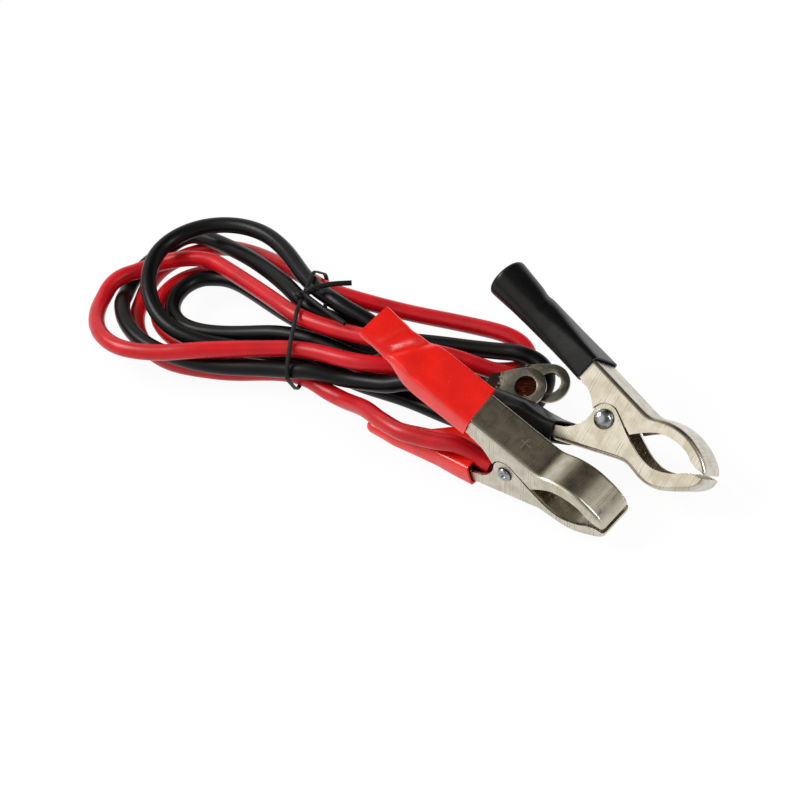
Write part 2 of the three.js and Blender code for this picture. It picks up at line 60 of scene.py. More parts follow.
COIL_R = 3.1
COIL_HALF = 2.7
CABLE_D = 5.0
RING_OUT = 12.0
RING_HOLE = 6.4
RING_T = 1.0
BARREL_DOWN = 2.5  # from the middle of the ring's sheet to the barrel's axis
RED_AT = {"at": (54.4, -10.3, 12.46), "yaw": 0, "pitch": 11.2, "roll": 0}
BLACK_AT = {"at": (69.1, 13.55, 14.53), "yaw": -1.06, "pitch": 12.0, "roll": -48.2}

# ---- camera: the photograph's view ----------------------------------------------------------
CAMERA_AT = Vector((342.75, -342.8, 486.0)) * MM
AZIMUTH, ELEVATION, ROLL = (math.radians(v) for v in (49.69, 43.18, -14.06))
LENS, SENSOR = 109.65, 36


def add_camera():
    data = bpy.data.cameras.new("camera")
    data.lens = LENS
    data.sensor_width = SENSOR
    data.clip_start = 0.05
    flat = Vector((math.cos(AZIMUTH), math.sin(AZIMUTH), 0))
    ahead = Vector((
        -math.sin(AZIMUTH) * math.cos(ELEVATION),
        math.cos(AZIMUTH) * math.cos(ELEVATION),
        -math.sin(ELEVATION),
    ))
    above = flat.cross(ahead)
    right = flat * math.cos(ROLL) + above * math.sin(ROLL)
    up = above * math.cos(ROLL) - flat * math.sin(ROLL)
    turn = Matrix((right, up, -ahead)).transposed().to_4x4()
    camera = bpy.data.objects.new("camera", data)
    camera.matrix_world = Matrix.Translation(CAMERA_AT) @ turn
    bpy.context.collection.objects.link(camera)
    bpy.context.scene.camera = camera


add_camera()


# ---- where the clips lie --------------------------------------------------------------------
def placement(place):
    roll, pitch, yaw = (math.radians(place[k]) for k in ("roll", "pitch", "yaw"))
    turn = Matrix.Rotation(yaw, 4, "Z") @ Matrix.Rotation(pitch, 4, "Y") @ Matrix.Rotation(roll, 4, "X")
    base = Matrix(((1, 0, 0, 0), (0, 0, -1, 0), (0, 1, 0, 0), (0, 0, 0, 1)))
    return Matrix.Translation(Vector(place["at"]) - ORIGIN) @ turn @ base


RED = placement(RED_AT)
BLACK = placement(BLACK_AT)


def handle_point(a, b):
    """A point of the upper handle, a along it from the hinge and b outwards, in the clip's own u and v."""
    return b * math.sin(LEAN) - a * math.cos(LEAN), b * math.cos(LEAN) + a * math.sin(LEAN)


def handle_frame(clip, side):
    """Matrix from (b, a, s) of the upper (side 1) or lower (side -1) handle to the row frame."""
    b_u, b_v = math.sin(LEAN), math.cos(LEAN)
    columns = Matrix((
        (b_u, -b_v, 0, 0),
        (side * b_v, side * b_u, 0, 0),
        (0, 0, 1, 0),
        (0, 0, 0, 1),
    ))
    return clip @ columns


# ---- cables: the routes from each clip to its ring terminal ---------------------------------
RED_START = [
    (9.5, 5.5, 1.4), (13, 4.3, 1.4), (17, 1.8, 1.6), (20.6, -0.45, 2.3), (25, -1.1, 3.6), (31, -1.2, 5.6),
]
BLACK_START = [
    (9.5, 5.75, 1.2), (14, 5.75, 1.1), (20, 5.7, 0.7), (27, 5.7, 0.2), (34, 5.7, 0), (42, 5.7, 0),
    (50, 5.7, 0), (56, 5.7, 0),
]
RED_ROUTE = [
    (17.6, -17.6, 11.4),
    (9, -16.8, 10), (0.5, -14.4, 7.9), (-9, -12, 4.6), (-19, -10.4, 2.7),
    (-29.9, -9.4, 2.6), (-38, -13.0, 2.6), (-48, -17.6, 2.6),
    (-60, -22.6, 2.6), (-71, -25.4, 2.6), (-82, -24, 2.6),
    (-91, -19.4, 2.6), (-98.6, -11.6, 2.6), (-103, -2, 2.6),
    (-104.4, 8, 2.6), (-101, 17, 3), (-93, 21.8, 4), (-82, 23.6, 5),
    (-71, 22.6, 7), (-60, 20.4, 9.6), (-50, 18, 12.2),
    (-40.3, 15.6, 13.6), (-31, 17.4, 12.6), (-22, 20.6, 10.6),
    (-12, 24, 9), (-2, 27.6, 8), (8, 30.4, 7.5),
    (16, 32.6, 7.2), (22.4, 33.2, 6), (27, 31.4, 3.8),
    (27.6, 27, 2.6), (23, 22.8, 2.6), (14, 19.6, 2.6), (4, 17.2, 2.6),
    (-6, 14.2, 2.6),
    (-16, 11.2, 2.6), (-27, 8.8, 2.6),
    (-36.9, 7.7, 2.6), (-48, 8.6, 2.6), (-60, 11, 2.6), (-72, 13.6, 2.6), (-83, 14, 2.6), (-92, 10, 2.6),
    (-95.6, 2, 2.6), (-94, -6.6, 2.6), (-87.6, -13.4, 2.6),
    (-77, -17, 2.6), (-66, -15.8, 2.6), (-54, -11.4, 2.6),
    (-43, -6.6, 2.6),
    (-33.4, -1.6, 2.6), (-24, 1.6, 2.6), (-14, 3.8, 2.6),
    (-5, 5.4, 3), (2.4, 5.4, 5.8), (4, 3.2, 10), (-1, -0.4, 13.2),
    (-10, -4, 13.8), (-20, -5.6, 13.2),
    (-30.5, -7.2, 12.6), (-41, -13.4, 12.6), (-52, -20.6, 12.6),
    (-62, -27, 12.6), (-71, -32, 12.6), (-80.4, -34.8, 12.4),
    (-90, -33, 11.6), (-98.4, -27.6, 10), (-104.4, -20, 8.2),
    (-106.4, -12, 7.9), (-105, -4, 7.9), (-100, 3.4, 8.4), (-93, 8, 10),
    (-83, 9.4, 12), (-72, 7.6, 13.4), (-60, 5.2, 14.6), (-50, 3, 15.8), (-41, 0.8, 16.9),
    (-33.4, -0.2, 17.2), (-24, 0.8, 17.2), (-14, 2.8, 17),
    (-4, 6.2, 16), (5, 10.2, 13.6), (13, 14, 10.6), (20.4, 17.4, 7.6),
    (27.4, 19.3, 6.2)
]
BLACK_ROUTE = [
    (9, -1.2, 12.4), (3, -2.8, 10.9), (-4, -4.6, 9.1), (-12, -6.8, 7.9), (-20, -9, 7.8),
    (-28.9, -12, 7.8), (-38, -15.6, 7.9), (-48, -20.2, 8),
    (-58, -24, 8), (-67, -26, 8), (-77, -26.6, 8), (-86, -24.6, 8),
    (-94.6, -20.2, 7.8), (-101.4, -13.8, 6.8), (-107, -5, 3.6),
    (-110, 3, 2.7), (-108, 12, 2.8), (-103, 18.4, 6.6),
    (-94, 19, 9), (-83, 18.4, 10), (-72, 16.6, 11.6), (-60, 13.4, 13.6), (-48, 9.2, 16),
    (-35.6, 5.4, 17), (-28, 6.8, 14.4), (-20, 9.6, 10.8),
    (-10, 13, 8.4), (-1, 17, 7.6), (8, 20.6, 7.6), (18, 24.4, 7.7),
    (26, 27.8, 7.6), (33, 28.8, 7), (37.6, 26, 5.4), (38.8, 21, 3.7),
    (38.8, 15.6, 2.7), (37.6, 10.4, 2.6), (34.6, 5.6, 2.6),
    (29.8, 2, 2.6), (23, 0, 2.6), (14, -0.1, 2.6), (5, -0.2, 2.6),
    (-5, -1.6, 2.7), (-13, -3.2, 2.9), (-21, -4.2, 5),
    (-31.2, -5.4, 7.4), (-42, -9.8, 7.8), (-53, -14.8, 9),
    (-64, -19, 10.4), (-75, -19.6, 12), (-85.4, -15, 14),
    (-93.4, -7, 15.6), (-97, 2, 16.8), (-94.4, 11.6, 17.4),
    (-88, 18.6, 17.6), (-79, 22.6, 17.7), (-69, 23.2, 17.7),
    (-58, 20, 17.6), (-48, 15, 17.4),
    (-37.8, 10.2, 17.4), (-30, 8.2, 18.4), (-22, 8.8, 18),
    (-13, 9.4, 16.4), (-6, 8.4, 13.6), (-4.6, 4.6, 10.4), (-9, 1.2, 9),
    (-17, 0.2, 9.8), (-25, -0.8, 11),
    (-32.8, -1.8, 11.6), (-43, -4, 10.6), (-54, -8.6, 8.6),
    (-64, -12.8, 7.8), (-73, -15, 7.6), (-81.4, -12.4, 7.6),
    (-86, -6.4, 7.6), (-87, 0.8, 7.6), (-84, 7, 7.6),
    (-76, 9.6, 7.6), (-66, 8.6, 7.6), (-55, 6.8, 7.6), (-45, 5.6, 7.6),
    (-35.8, 5.1, 7.5), (-25, 5.6, 7.5), (-14, 7.2, 7.5),
    (-3, 8.8, 7.6), (8, 9.8, 7.5), (16.4, 10.2, 7.2), (23.9, 12.1, 6.8)
]
TIE_AT = (-28.9, -12.85)
TIE_SLICE = 1.3  # half the width of the hank's slice that the tie goes round
HANK_WAY = (0.911, 0.412)
STEP = 2.5  # between the points that are settled
CLEAR = 5.78  # between the centres of two runs
ROUNDS = 200
EASE, PULL = 0.3, 0.05  # share of a bend and of a drift that a round takes back
HELD = {"red": 62, "black": 56}  # length from the clip that stays as drawn
SAME_RUN = 16  # points nearer than this along a cable don't push each other
FLOOR_AIR = 0.08
# The hank lies higher where the tie passes under it: by how much, and over which distance from the tie.
TIE_LIFT, TIE_HALF, TIE_REACH = 1.35, 4, 22


def ramp(value, start, length):
    """0 up to start, 1 from start + length on."""
    return min(1, max(0, (value - start) / length))


class Route:
    """A smooth curve through points, measured along its length."""

    def __init__(self, points, divisions=2000):
        self.points = [Vector(p) for p in points]
        self.marks = [self.at(i / divisions) for i in range(divisions + 1)]
        self.lengths = [0.0]
        for p, q in zip(self.marks, self.marks[1:]):
            self.lengths.append(self.lengths[-1] + (q - p).length)
        self.length = self.lengths[-1]
        self.divisions = divisions

    def at(self, t):
        last = len(self.points) - 1
        i = min(int(last * t), last - 1)
        w = last * t - i
        p1, p2 = self.points[i], self.points[i + 1]
        p0 = self.points[i - 1] if i else 2 * p1 - p2
        p3 = self.points[i + 2] if i + 2 <= last else 2 * p2 - p1
        d0, d1, d2 = ((q - p).length ** 0.5 for p, q in ((p0, p1), (p1, p2), (p2, p3)))
        t1 = ((p1 - p0) / d0 - (p2 - p0) / (d0 + d1) + (p2 - p1) / d1) * d1
        t2 = ((p2 - p1) / d1 - (p3 - p1) / (d1 + d2) + (p3 - p2) / d2) * d1
        return p1 + t1 * w + (-3 * p1 + 3 * p2 - 2 * t1 - t2) * w**2 + (2 * p1 - 2 * p2 + t1 + t2) * w**3

    def along(self, distance):
        low, high = 0, self.divisions
        while high - low > 1:
            middle = (low + high) // 2
            if self.lengths[middle] > distance:
                high = middle
            else:
                low = middle
        share = (distance - self.lengths[low]) / (self.lengths[high] - self.lengths[low])
        return self.at((low + share) / self.divisions)

    def even(self, step):
        count = round(self.length / step)
        return [self.along(self.length * i / count) for i in range(count + 1)]


def in_clip(clip, point):
    a, b, s = point
    u, v = handle_point(a, b)
    return clip @ Vector((u, -v, s)) + ORIGIN


def tie_distance(x, y):
    return (x - TIE_AT[0]) * HANK_WAY[0] + (y - TIE_AT[1]) * HANK_WAY[1]


def lowest(bead):
    near = 1 - ramp(abs(tie_distance(bead[0], bead[1])), TIE_HALF, TIE_REACH)
    return CABLE_D / 2 + FLOOR_AIR + TIE_LIFT * near * near * (3 - 2 * near)


def close_pairs(places, info):
    """Pairs of points on different runs that may come within a diameter of each other soon."""
    tree = kdtree.KDTree(len(places))
    for i, p in enumerate(places):
        tree.insert(p, i)
    tree.balance()
    pairs = []
    for i, p in enumerate(places):
        for _, j, _ in sorted(tree.find_range(p, CLEAR + 3), key=lambda found: found[1]):
            same_run = info[i][0] == info[j][0] and info[j][1] - info[i][1] < SAME_RUN
            if j >= i + 4 and not same_run and not (info[i][2] and info[j][2]):
                pairs.append((i, j))
    return pairs


def settle(places, homes, info):
    """Bends ease, points keep near their place, and runs closer than a diameter move apart."""
    for turn in range(ROUNDS):
        before = [list(p) for p in places]
        for i in range(1, len(places) - 1):
            name, _, fixed = info[i]
            if fixed or info[i - 1][0] != name or info[i + 1][0] != name:
                continue
            for k in range(3):
                ease = (before[i - 1][k] + before[i + 1][k]) / 2 - before[i][k]
                places[i][k] += EASE * ease + PULL * (homes[i][k] - before[i][k])
        if turn % 10 == 0:
            pairs = close_pairs(places, info)
        for i, j in pairs:
            p, q = places[i], places[j]
            d = [q[k] - p[k] for k in range(3)]
            gap = math.sqrt(d[0] ** 2 + d[1] ** 2 + d[2] ** 2)
            if gap >= CLEAR:
                continue
            one_held = info[i][2] or info[j][2]
            share = 0.5 * (CLEAR - gap) / gap / (1 if one_held else 2)
            for k in range(3):
                if not info[i][2]:
                    p[k] -= share * d[k]
                if not info[j][2]:
                    q[k] += share * d[k]
        for p in places:
            p[2] = max(p[2], lowest(p))


def lay_cables():
    """Both cables' settled centre lines, in the layout's millimetres."""
    drawn = (("red", RED, RED_START, RED_ROUTE), ("black", BLACK, BLACK_START, BLACK_ROUTE))
    laid = {
        name: Route([in_clip(clip, p) for p in start] + [Vector(p) for p in route])
        for name, clip, start, route in drawn
    }
    places, info = [], []
    for name, route in laid.items():
        beads = route.even(STEP)
        for i, bead in enumerate(beads):
            along = route.length * i / (len(beads) - 1)
            places.append(list(bead))
            info.append((name, along, along < HELD[name] or i == len(beads) - 1))
    settle(places, [list(p) for p in places], info)
    return {
        name: Route([p for p, (owner, _, _) in zip(places, info) if owner == name])
        for name in laid
    }


CABLES = lay_cables()


def to_row(point):
    return (Vector(point) - ORIGIN) * MM


# ---- materials ------------------------------------------------------------------------------
def colour(text):
    """sRGB hex to the linear colour that nodes take."""
    parts = [int(text[i:i + 2], 16) / 255 for i in (1, 3, 5)]
    return tuple(p / 12.92 if p <= 0.04045 else ((p + 0.055) / 1.055) ** 2.4 for p in parts) + (1,)


def add_node(tree, kind, inputs=None, **settings):
    made = tree.nodes.new("ShaderNode" + kind)
    for name, value in settings.items():
        setattr(made, name, value)
    for name, value in (inputs or {}).items():
        if isinstance(value, bpy.types.NodeSocket):
            tree.links.new(value, made.inputs[name])
        else:
            made.inputs[name].default_value = value
    return made


def new_material(name, **shader):
    material = bpy.data.materials.new(name)
    material.use_nodes = True
    tree = material.node_tree
    surface = tree.nodes["Principled BSDF"]
    for socket, value in shader.items():
        surface.inputs[socket.replace("_", " ")].default_value = value
    return material, tree, surface


def in_millimetres(tree):
    """Object coordinates, counted in millimetres."""
    place = add_node(tree, "TexCoord").outputs["Object"]
    return add_node(tree, "VectorMath", {0: place, 3: 1000.0}, operation="SCALE").outputs[0]


def mixed(tree, share, low, high):
    mix = add_node(tree, "Mix", {0: share, 6: low, 7: high}, data_type="RGBA")
    return mix.outputs[2]


def ranged(tree, value, from_low, from_high, to_low=0.0, to_high=1.0):
    settings = {0: value, 1: from_low, 2: from_high, 3: to_low, 4: to_high}
    return add_node(tree, "MapRange", settings).outputs[0]


def maths(tree, operation, *values):
    return add_node(tree, "Math", dict(enumerate(values)), operation=operation).outputs[0]


def along_way(tree, place, way):
    return add_node(tree, "VectorMath", {0: place, 1: way}, operation="DOT_PRODUCT").outputs["Value"]


def noise(tree, place, scale, detail):
    return add_node(tree, "TexNoise", {"Vector": place, "Scale": scale, "Detail": detail}).outputs[0]


def relief(tree, height, strength, distance, **under):
    """Bumps of up to distance, in metres; Normal names the relief that they lie on."""
    inputs = {"Height": height, "Strength": strength, "Distance": distance, **under}
    return add_node(tree, "Bump", inputs).outputs[0]


def dress(tree, surface, tone, roughness, bump=None):
    tree.links.new(tone, surface.inputs["Base Color"])
    tree.links.new(roughness, surface.inputs["Roughness"])
    if bump:
        tree.links.new(bump, surface.inputs["Normal"])


def nickel_plate(name, clip):
    """Drawn steel strip under bright nickel: warm grey, mirror-like, with fine lines across the strip."""
    material, tree, surface = new_material(name, Metallic=1.0)
    place = in_millimetres(tree)
    along = along_way(tree, place, (clip.to_3x3() @ Vector((1, 0, 0))).normalized())
    drift = maths(tree, "MULTIPLY_ADD", noise(tree, place, 0.25, 2.0), 0.7, along)
    # Drawn lines 0.4 mm apart; real ones are finer than a pixel.
    drawn = {"W": drift, "Scale": 2.4, "Detail": 4.0}
    lines = add_node(tree, "TexNoise", drawn, noise_dimensions="1D").outputs[0]
    patches = noise(tree, place, 0.3, 2.0)
    # The lines show only in places, where the plating is thin.
    strong = ranged(tree, noise(tree, place, 0.4, 3.0), 0.42, 0.62, 0.1, 0.9)
    streaks = maths(tree, "MULTIPLY", ranged(tree, lines, 0.5, 0.64), strong)
    plain = mixed(tree, ranged(tree, patches, 0.35, 0.65), colour("#cfc9bc"), colour("#bdb5a3"))
    tone = mixed(tree, streaks, plain, colour("#a29987"))
    shine = ranged(tree, patches, 0.3, 0.7, 0.22, 0.34)
    dress(tree, surface, tone, shine, relief(tree, lines, 0.06, 0.00003))
    return material


def soft_pvc(name, low, high, roughness, grain, unevenness, shine=0.5):
    """Dipped or extruded PVC: even colour, skin smooth with a slight unevenness from cooling."""
    material, tree, surface = new_material(name, IOR=1.53, Specular_IOR_Level=shine)
    place = in_millimetres(tree)
    cloudy = noise(tree, place, 0.16, 3.0)
    fine = noise(tree, place, grain, 4.0)
    tone = mixed(tree, ranged(tree, cloudy, 0.35, 0.65), colour(low), colour(high))
    waves = relief(tree, cloudy, 0.5, unevenness)
    skin = relief(tree, fine, 0.06, unevenness * 0.2, Normal=waves)
    dress(tree, surface, tone, ranged(tree, fine, 0.3, 0.7, roughness, roughness + 0.12), skin)
    return material


def bright_rivet(name):
    """Zinc-plated steel rivet, headed cold: light grey metal with a soft, slightly dented shine."""
    material, tree, surface = new_material(name, Metallic=1.0)
    dents = noise(tree, in_millimetres(tree), 0.9, 3.0)
    tone = mixed(tree, dents, colour("#85888b"), colour("#a4a7a9"))
    dress(tree, surface, tone, ranged(tree, dents, 0.3, 0.7, 0.12, 0.26), relief(tree, dents, 0.15, 0.00006))
    return material


def ring_metal(name, ring):
    """Stamped ring terminal, nickel on copper: grey and satin, with dark tarnished copper at the crimp."""
    material, tree, surface = new_material(name, Metallic=1.0)
    place = in_millimetres(tree)
    to_eye = {0: place, 1: ring.to_translation()}
    from_eye = add_node(tree, "VectorMath", to_eye, operation="SUBTRACT").outputs[0]
    along = along_way(tree, from_eye, ring.to_3x3() @ Vector((1, 0, 0)))
    speckle = noise(tree, place, 1.3, 2.0)
    worn = maths(tree, "ADD", speckle, ranged(tree, along, -4.8, -9.6, -0.4, 0.4))
    grey = mixed(tree, ranged(tree, speckle, 0.3, 0.7), colour("#a9a494"), colour("#8f8a7c"))
    tone = mixed(tree, ranged(tree, worn, 0.36, 0.7), grey, colour("#2c1f18"))
    dress(tree, surface, tone, ranged(tree, worn, 0.3, 0.6, 0.3, 0.55), relief(tree, speckle, 0.2, 0.0001))
    return material


def bare_copper(name):
    """Fine drawn copper strand, dulled by air, its colour darkened further as painted shade."""
    material, tree, surface = new_material(name, Metallic=1.0)
    stain = noise(tree, in_millimetres(tree), 0.8, 3.0)
    # Both copper tones are darkened as painted shade; the noise only varies between them.
    tone = mixed(tree, stain, colour("#8a4530"), colour("#42201a"))
    dress(tree, surface, tone, ranged(tree, stain, 0.3, 0.7, 0.25, 0.45))
    return material


def tie_plastic(name):
    """Extruded black PVC of the twist tie: matt, with a fine uneven grain."""
    material, tree, surface = new_material(name, IOR=1.5, Specular_IOR_Level=0.25)
    grain = noise(tree, in_millimetres(tree), 1.8, 5.0)
    tone = mixed(tree, grain, colour("#070708"), colour("#101012"))
    dress(tree, surface, tone, ranged(tree, grain, 0.3, 0.7, 0.42, 0.6), relief(tree, grain, 0.3, 0.00008))
    return material


# ---- modelling helpers ----------------------------------------------------------------------
SKIN_SIDES = 48  # points round a boot


def finished(piece, name, material, body, slot, *nodes):
    """Names a finished piece, gives it its material, and puts it in place of its CAD nodes."""
    piece.name = name
    piece.data.name = name
    piece.data.materials.clear()
    piece.data.materials.append(material)
    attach(piece, body)
    if nodes:
        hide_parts(*nodes)
    return piece


def only(piece):
    bpy.ops.object.select_all(action="DESELECT")
    piece.select_set(True)
    bpy.context.view_layer.objects.active = piece


def outward(piece, weld=False):
    """Turns the faces out, and first joins points that lie together if weld is set."""
    only(piece)
    bpy.ops.object.mode_set(mode="EDIT")
    bpy.ops.mesh.select_all(action="SELECT")
    if weld:
        bpy.ops.mesh.remove_doubles(threshold=1e-4)
    bpy.ops.mesh.normals_make_consistent(inside=False)
    bpy.ops.object.mode_set(mode="OBJECT")


def settled(piece, matrix, degrees):
    """Moves a piece from its own millimetres to its place in the row frame, in its mesh, and shades it."""
    only(piece)
    bpy.ops.object.transform_apply(location=True, rotation=True, scale=True)
    piece.data.transform(Matrix.Scale(MM, 4) @ matrix)
    if matrix.determinant() < 0:
        outward(piece)
    bpy.ops.object.shade_smooth_by_angle(angle=math.radians(degrees))
    return piece


def modified(piece, kind, **settings):
    only(piece)
    modifier = piece.modifiers.new(kind.lower(), kind)
    for name, value in settings.items():
        setattr(modifier, name, value)
    bpy.ops.object.modifier_apply(modifier=modifier.name)


def combined(piece, operation, tool):
    modified(piece, "BOOLEAN", operation=operation, object=tool, solver="EXACT")
    bpy.data.objects.remove(tool)


def started(outline):
    """A ring of points in edit mode, one for each point of outline."""
    bpy.ops.object.select_all(action="DESELECT")
    bpy.ops.mesh.primitive_circle_add(vertices=len(outline), radius=1, enter_editmode=True)
    piece = bpy.context.object
    mesh = bmesh.from_edit_mesh(piece.data)
    mesh.verts.ensure_lookup_table()
    for vert, at in zip(mesh.verts, outline):
        vert.co = at
    bmesh.update_edit_mesh(piece.data)
    return piece


def section_ring(section):
    """Outline of a boot's section [a, middle b, half width s, half depth b, squareness], as b, a, s."""
    a, middle, half_s, half_b, square = section
    ring = []
    for i in range(SKIN_SIDES):
        w = 2 * math.pi * i / SKIN_SIDES
        x, z = math.cos(w), math.sin(w)
        bent = [math.copysign(abs(v) ** (2 / square), v) for v in (x, z)]
        ring.append(Vector((middle + bent[0] * half_b, a, bent[1] * half_s)))
    return ring


def pick_last_ring(piece):
    bpy.ops.mesh.select_all(action="DESELECT")
    mesh = bmesh.from_edit_mesh(piece.data)
    mesh.verts.ensure_lookup_table()
    for vert in mesh.verts[-SKIN_SIDES:]:
        vert.select = True
    for edge in mesh.edges:
        edge.select = all(v.select for v in edge.verts) and len(edge.link_faces) < 2
    bmesh.update_edit_mesh(piece.data)


def loft(sections, closed):
    """A skin drawn out ring by ring by extrusion; closed joins the last ring to the first."""
    piece = started(section_ring(sections[0]))
    if not closed:
        bpy.ops.mesh.select_all(action="SELECT")
        bpy.ops.mesh.edge_face_add()
    for section in sections[1:] + sections[:closed]:
        pick_last_ring(piece)
        bpy.ops.mesh.extrude_edges_move()
        mesh = bmesh.from_edit_mesh(piece.data)
        mesh.verts.ensure_lookup_table()
        for vert, at in zip(mesh.verts[-SKIN_SIDES:], section_ring(section)):
            vert.co = at
    if not closed:
        pick_last_ring(piece)
        bpy.ops.mesh.edge_face_add()
    bpy.ops.object.mode_set(mode="OBJECT")
    outward(piece, weld=True)
    return piece


def curve(name, points, radius, resolution):
    """A round curve through points, closed at its ends."""
    data = bpy.data.curves.new(name, "CURVE")
    data.dimensions = "3D"
    spline = data.splines.new("POLY")
    spline.points.add(len(points) - 1)
    for target, p in zip(spline.points, points):
        target.co = (*p, 1)
    spline.use_smooth = True
    data.bevel_depth = radius
    data.bevel_resolution = resolution
    data.use_fill_caps = True
    piece = bpy.data.objects.new(name, data)
    bpy.context.collection.objects.link(piece)
    return piece


def wire(points, radius, resolution):
    """One smooth round wire along points, as a mesh."""
    piece = curve("wire", points, radius, resolution)
    only(piece)
    bpy.ops.object.convert(target="MESH")
    return piece


def joined(pieces):
    only(pieces[0])
    for piece in pieces[1:]:
        piece.select_set(True)
    bpy.ops.object.join()
    return pieces[0]


# ---- the clips ------------------------------------------------------------------------------
PIPE_BOOT = [
    [MOUTH_A, 6.33, 7.1, 4.2, 7], [20, 6.3, 6.6, 4.35, 5],
    [25, 6.2, 6.1, 4.6, 3.6], [30, 6.1, 5.7, 4.9, 2.7],
    [36, 6.0, 5.5, 5.1, 2.3], [42, 5.95, 5.65, 5.4, 2.1],
    [47, 5.9, 5.95, 5.8, 2], [50.2, 5.9, 6.2, 6.05, 2],
    [51, 5.9, 6.15, 6.0, 2], [51.5, 5.9, 5.7, 5.6, 2],
]
PIPE_INSIDE = [
    [51.3, 5.9, 5.2, 5.1, 2], [48, 5.9, 4.9, 4.8, 2], [42, 5.85, 4.4, 4.2, 2], [34, 5.8, 4.0, 3.8, 2],
    [25, 6.0, 4.2, 3.6, 2.6], [21, 6.3, 5.6, 3.5, 5],
    [MOUTH_A + 0.4, 6.33, 6.3, 3.45, 8], [MOUTH_A, 6.33, 6.5, 3.65, 8],
]
PIPE_LOW_BOOT = [[MOUTH_A, 7.4, 7.1, 3.2, 6],
[17, 7.3, 6.9, 3.3, 5.5], [21, 6.9, 6.5, 3.9, 4.6]] + PIPE_BOOT[2:]
PIPE_LOW_INSIDE = PIPE_INSIDE[:-3] + [
    [20, 6.9, 5.6, 2.9, 5], [MOUTH_A + 0.4, 7.4, 6.3, 2.5, 8], [MOUTH_A, 7.4, 6.5, 2.7, 8],
]
FLAT_BOOT = [
    [MOUTH_A, 7.1, 7.1, 3.45, 9], [20, 7.0, 7.1, 3.6, 9], [33, 6.9, 7.05, 3.9, 8], [37, 7.0, 6.9, 3.8, 6],
    [40, 7.4, 6.5, 3.3, 4], [42.5, 7.9, 6.0, 2.7, 3.4],
    [45.5, 8.4, 5.8, 2.2, 3], [49, 8.8, 5.9, 1.8, 3.2],
    [53.6, 9.2, 6.2, 1.4, 3.4], [54.6, 9.4, 6.0, 1.1, 3.4],
]
FLAT_INSIDE = [
    [38.2, 7.1, 6.0, 2.6, 6], [38, 7.1, 6.2, 2.8, 7],
    [MOUTH_A + 0.4, 7.1, 6.3, 2.75, 8], [MOUTH_A, 7.1, 6.5, 2.95, 8],
]
FLAT_LOW_BOOT = [
    [MOUTH_A, 6.9, 7.1, 3.6, 7], [20, 6.6, 7.0, 3.6, 6], [25, 6.3, 6.8, 3.6, 5], [32, 5.9, 6.2, 3.3, 3.6],
    [40, 5.7, 5.3, 2.9, 2.9], [47, 5.4, 4.7, 2.6, 2.6],
    [51.4, 5.3, 4.4, 2.4, 2.5], [52.4, 5.3, 3.9, 2.0, 2.3],
]
FLAT_LOW_INSIDE = [
    [26.4, 6.4, 5.6, 2.6, 6], [26, 6.4, 5.9, 2.8, 7],
    [MOUTH_A + 0.4, 6.9, 6.3, 2.9, 8], [MOUTH_A, 6.9, 6.5, 3.1, 8],
]
# Creases that the soft PVC took where it is empty: place along, slope, width, depth.
FLAT_CREASES = [(42, 0.55, 1.6, 1.0), (46.5, 0.3, 1.2, 0.35), (37.5, -0.5, 2.2, 0.4)]
PIPE_CREASES = [(38, -0.6, 1.8, 0.4)]
CREASED_B, CREASED_RISE = 6.8, 1.5  # the creases grow to full depth from here outwards
MOUTH_REACH = 12  # how far from its mouth a sleeve sits askew
# The empty tail of the red lower sleeve: its start and middle, how it narrows and how far it is pushed.
TAIL_A, TAIL_MIDDLE = 26, 0.5
TAIL_NARROW, TAIL_NARROWS_IN = 0.6, 7
TAIL_PUSH, TAIL_PUSHED_IN = 2.4, 16


def between(sections, step=0.9):
    """The sections with more of them in between, so that the skin bends smoothly."""
    out = []
    for low, high in zip(sections, sections[1:]):
        count = max(1, round(abs(high[0] - low[0]) / step))
        for i in range(count):
            w = i / count
            out.append([p + (q - p) * w for p, q in zip(low, high)])
    return out + [sections[-1]]


def boot(sections, inside, clip, side, back, askew):
    """A PVC sleeve: outer skin, rolled mouth, and the pocket that the steel sits in."""
    pipe = sections[-1] == PIPE_BOOT[-1]
    if pipe:
        piece = loft(between(sections) + between(inside), closed=True)
    else:
        piece = loft(between(sections)[::-1] + between(inside)[::-1], closed=False)
    # The mouth sits a little askew on its arm.
    for vert in piece.data.vertices:
        vert.co.y += (back + askew * vert.co.z) * max(0, 1 - (vert.co.y - MOUTH_A) / MOUTH_REACH)
    if side < 0 and not pipe:
        # The lead lies along this tail and has pushed it to the near side.
        for vert in piece.data.vertices:
            away = vert.co.z - TAIL_MIDDLE
            if away < 0:
                narrowed = TAIL_NARROW * ramp(vert.co.y, TAIL_A, TAIL_NARROWS_IN)
                vert.co.z = TAIL_MIDDLE + away * (1 - narrowed)
            vert.co.z += TAIL_PUSH * ramp(vert.co.y, TAIL_A, TAIL_PUSHED_IN)
    for place, slope, width, depth in PIPE_CREASES if pipe else FLAT_CREASES if side > 0 else []:
        for vert in piece.data.vertices:
            b, a, s = vert.co
            over = ramp(b, CREASED_B, CREASED_RISE)
            vert.co.x -= depth * over * math.exp(-(((a - place - slope * s) / width) ** 2))
    return settled(piece, handle_frame(clip, side), 50)


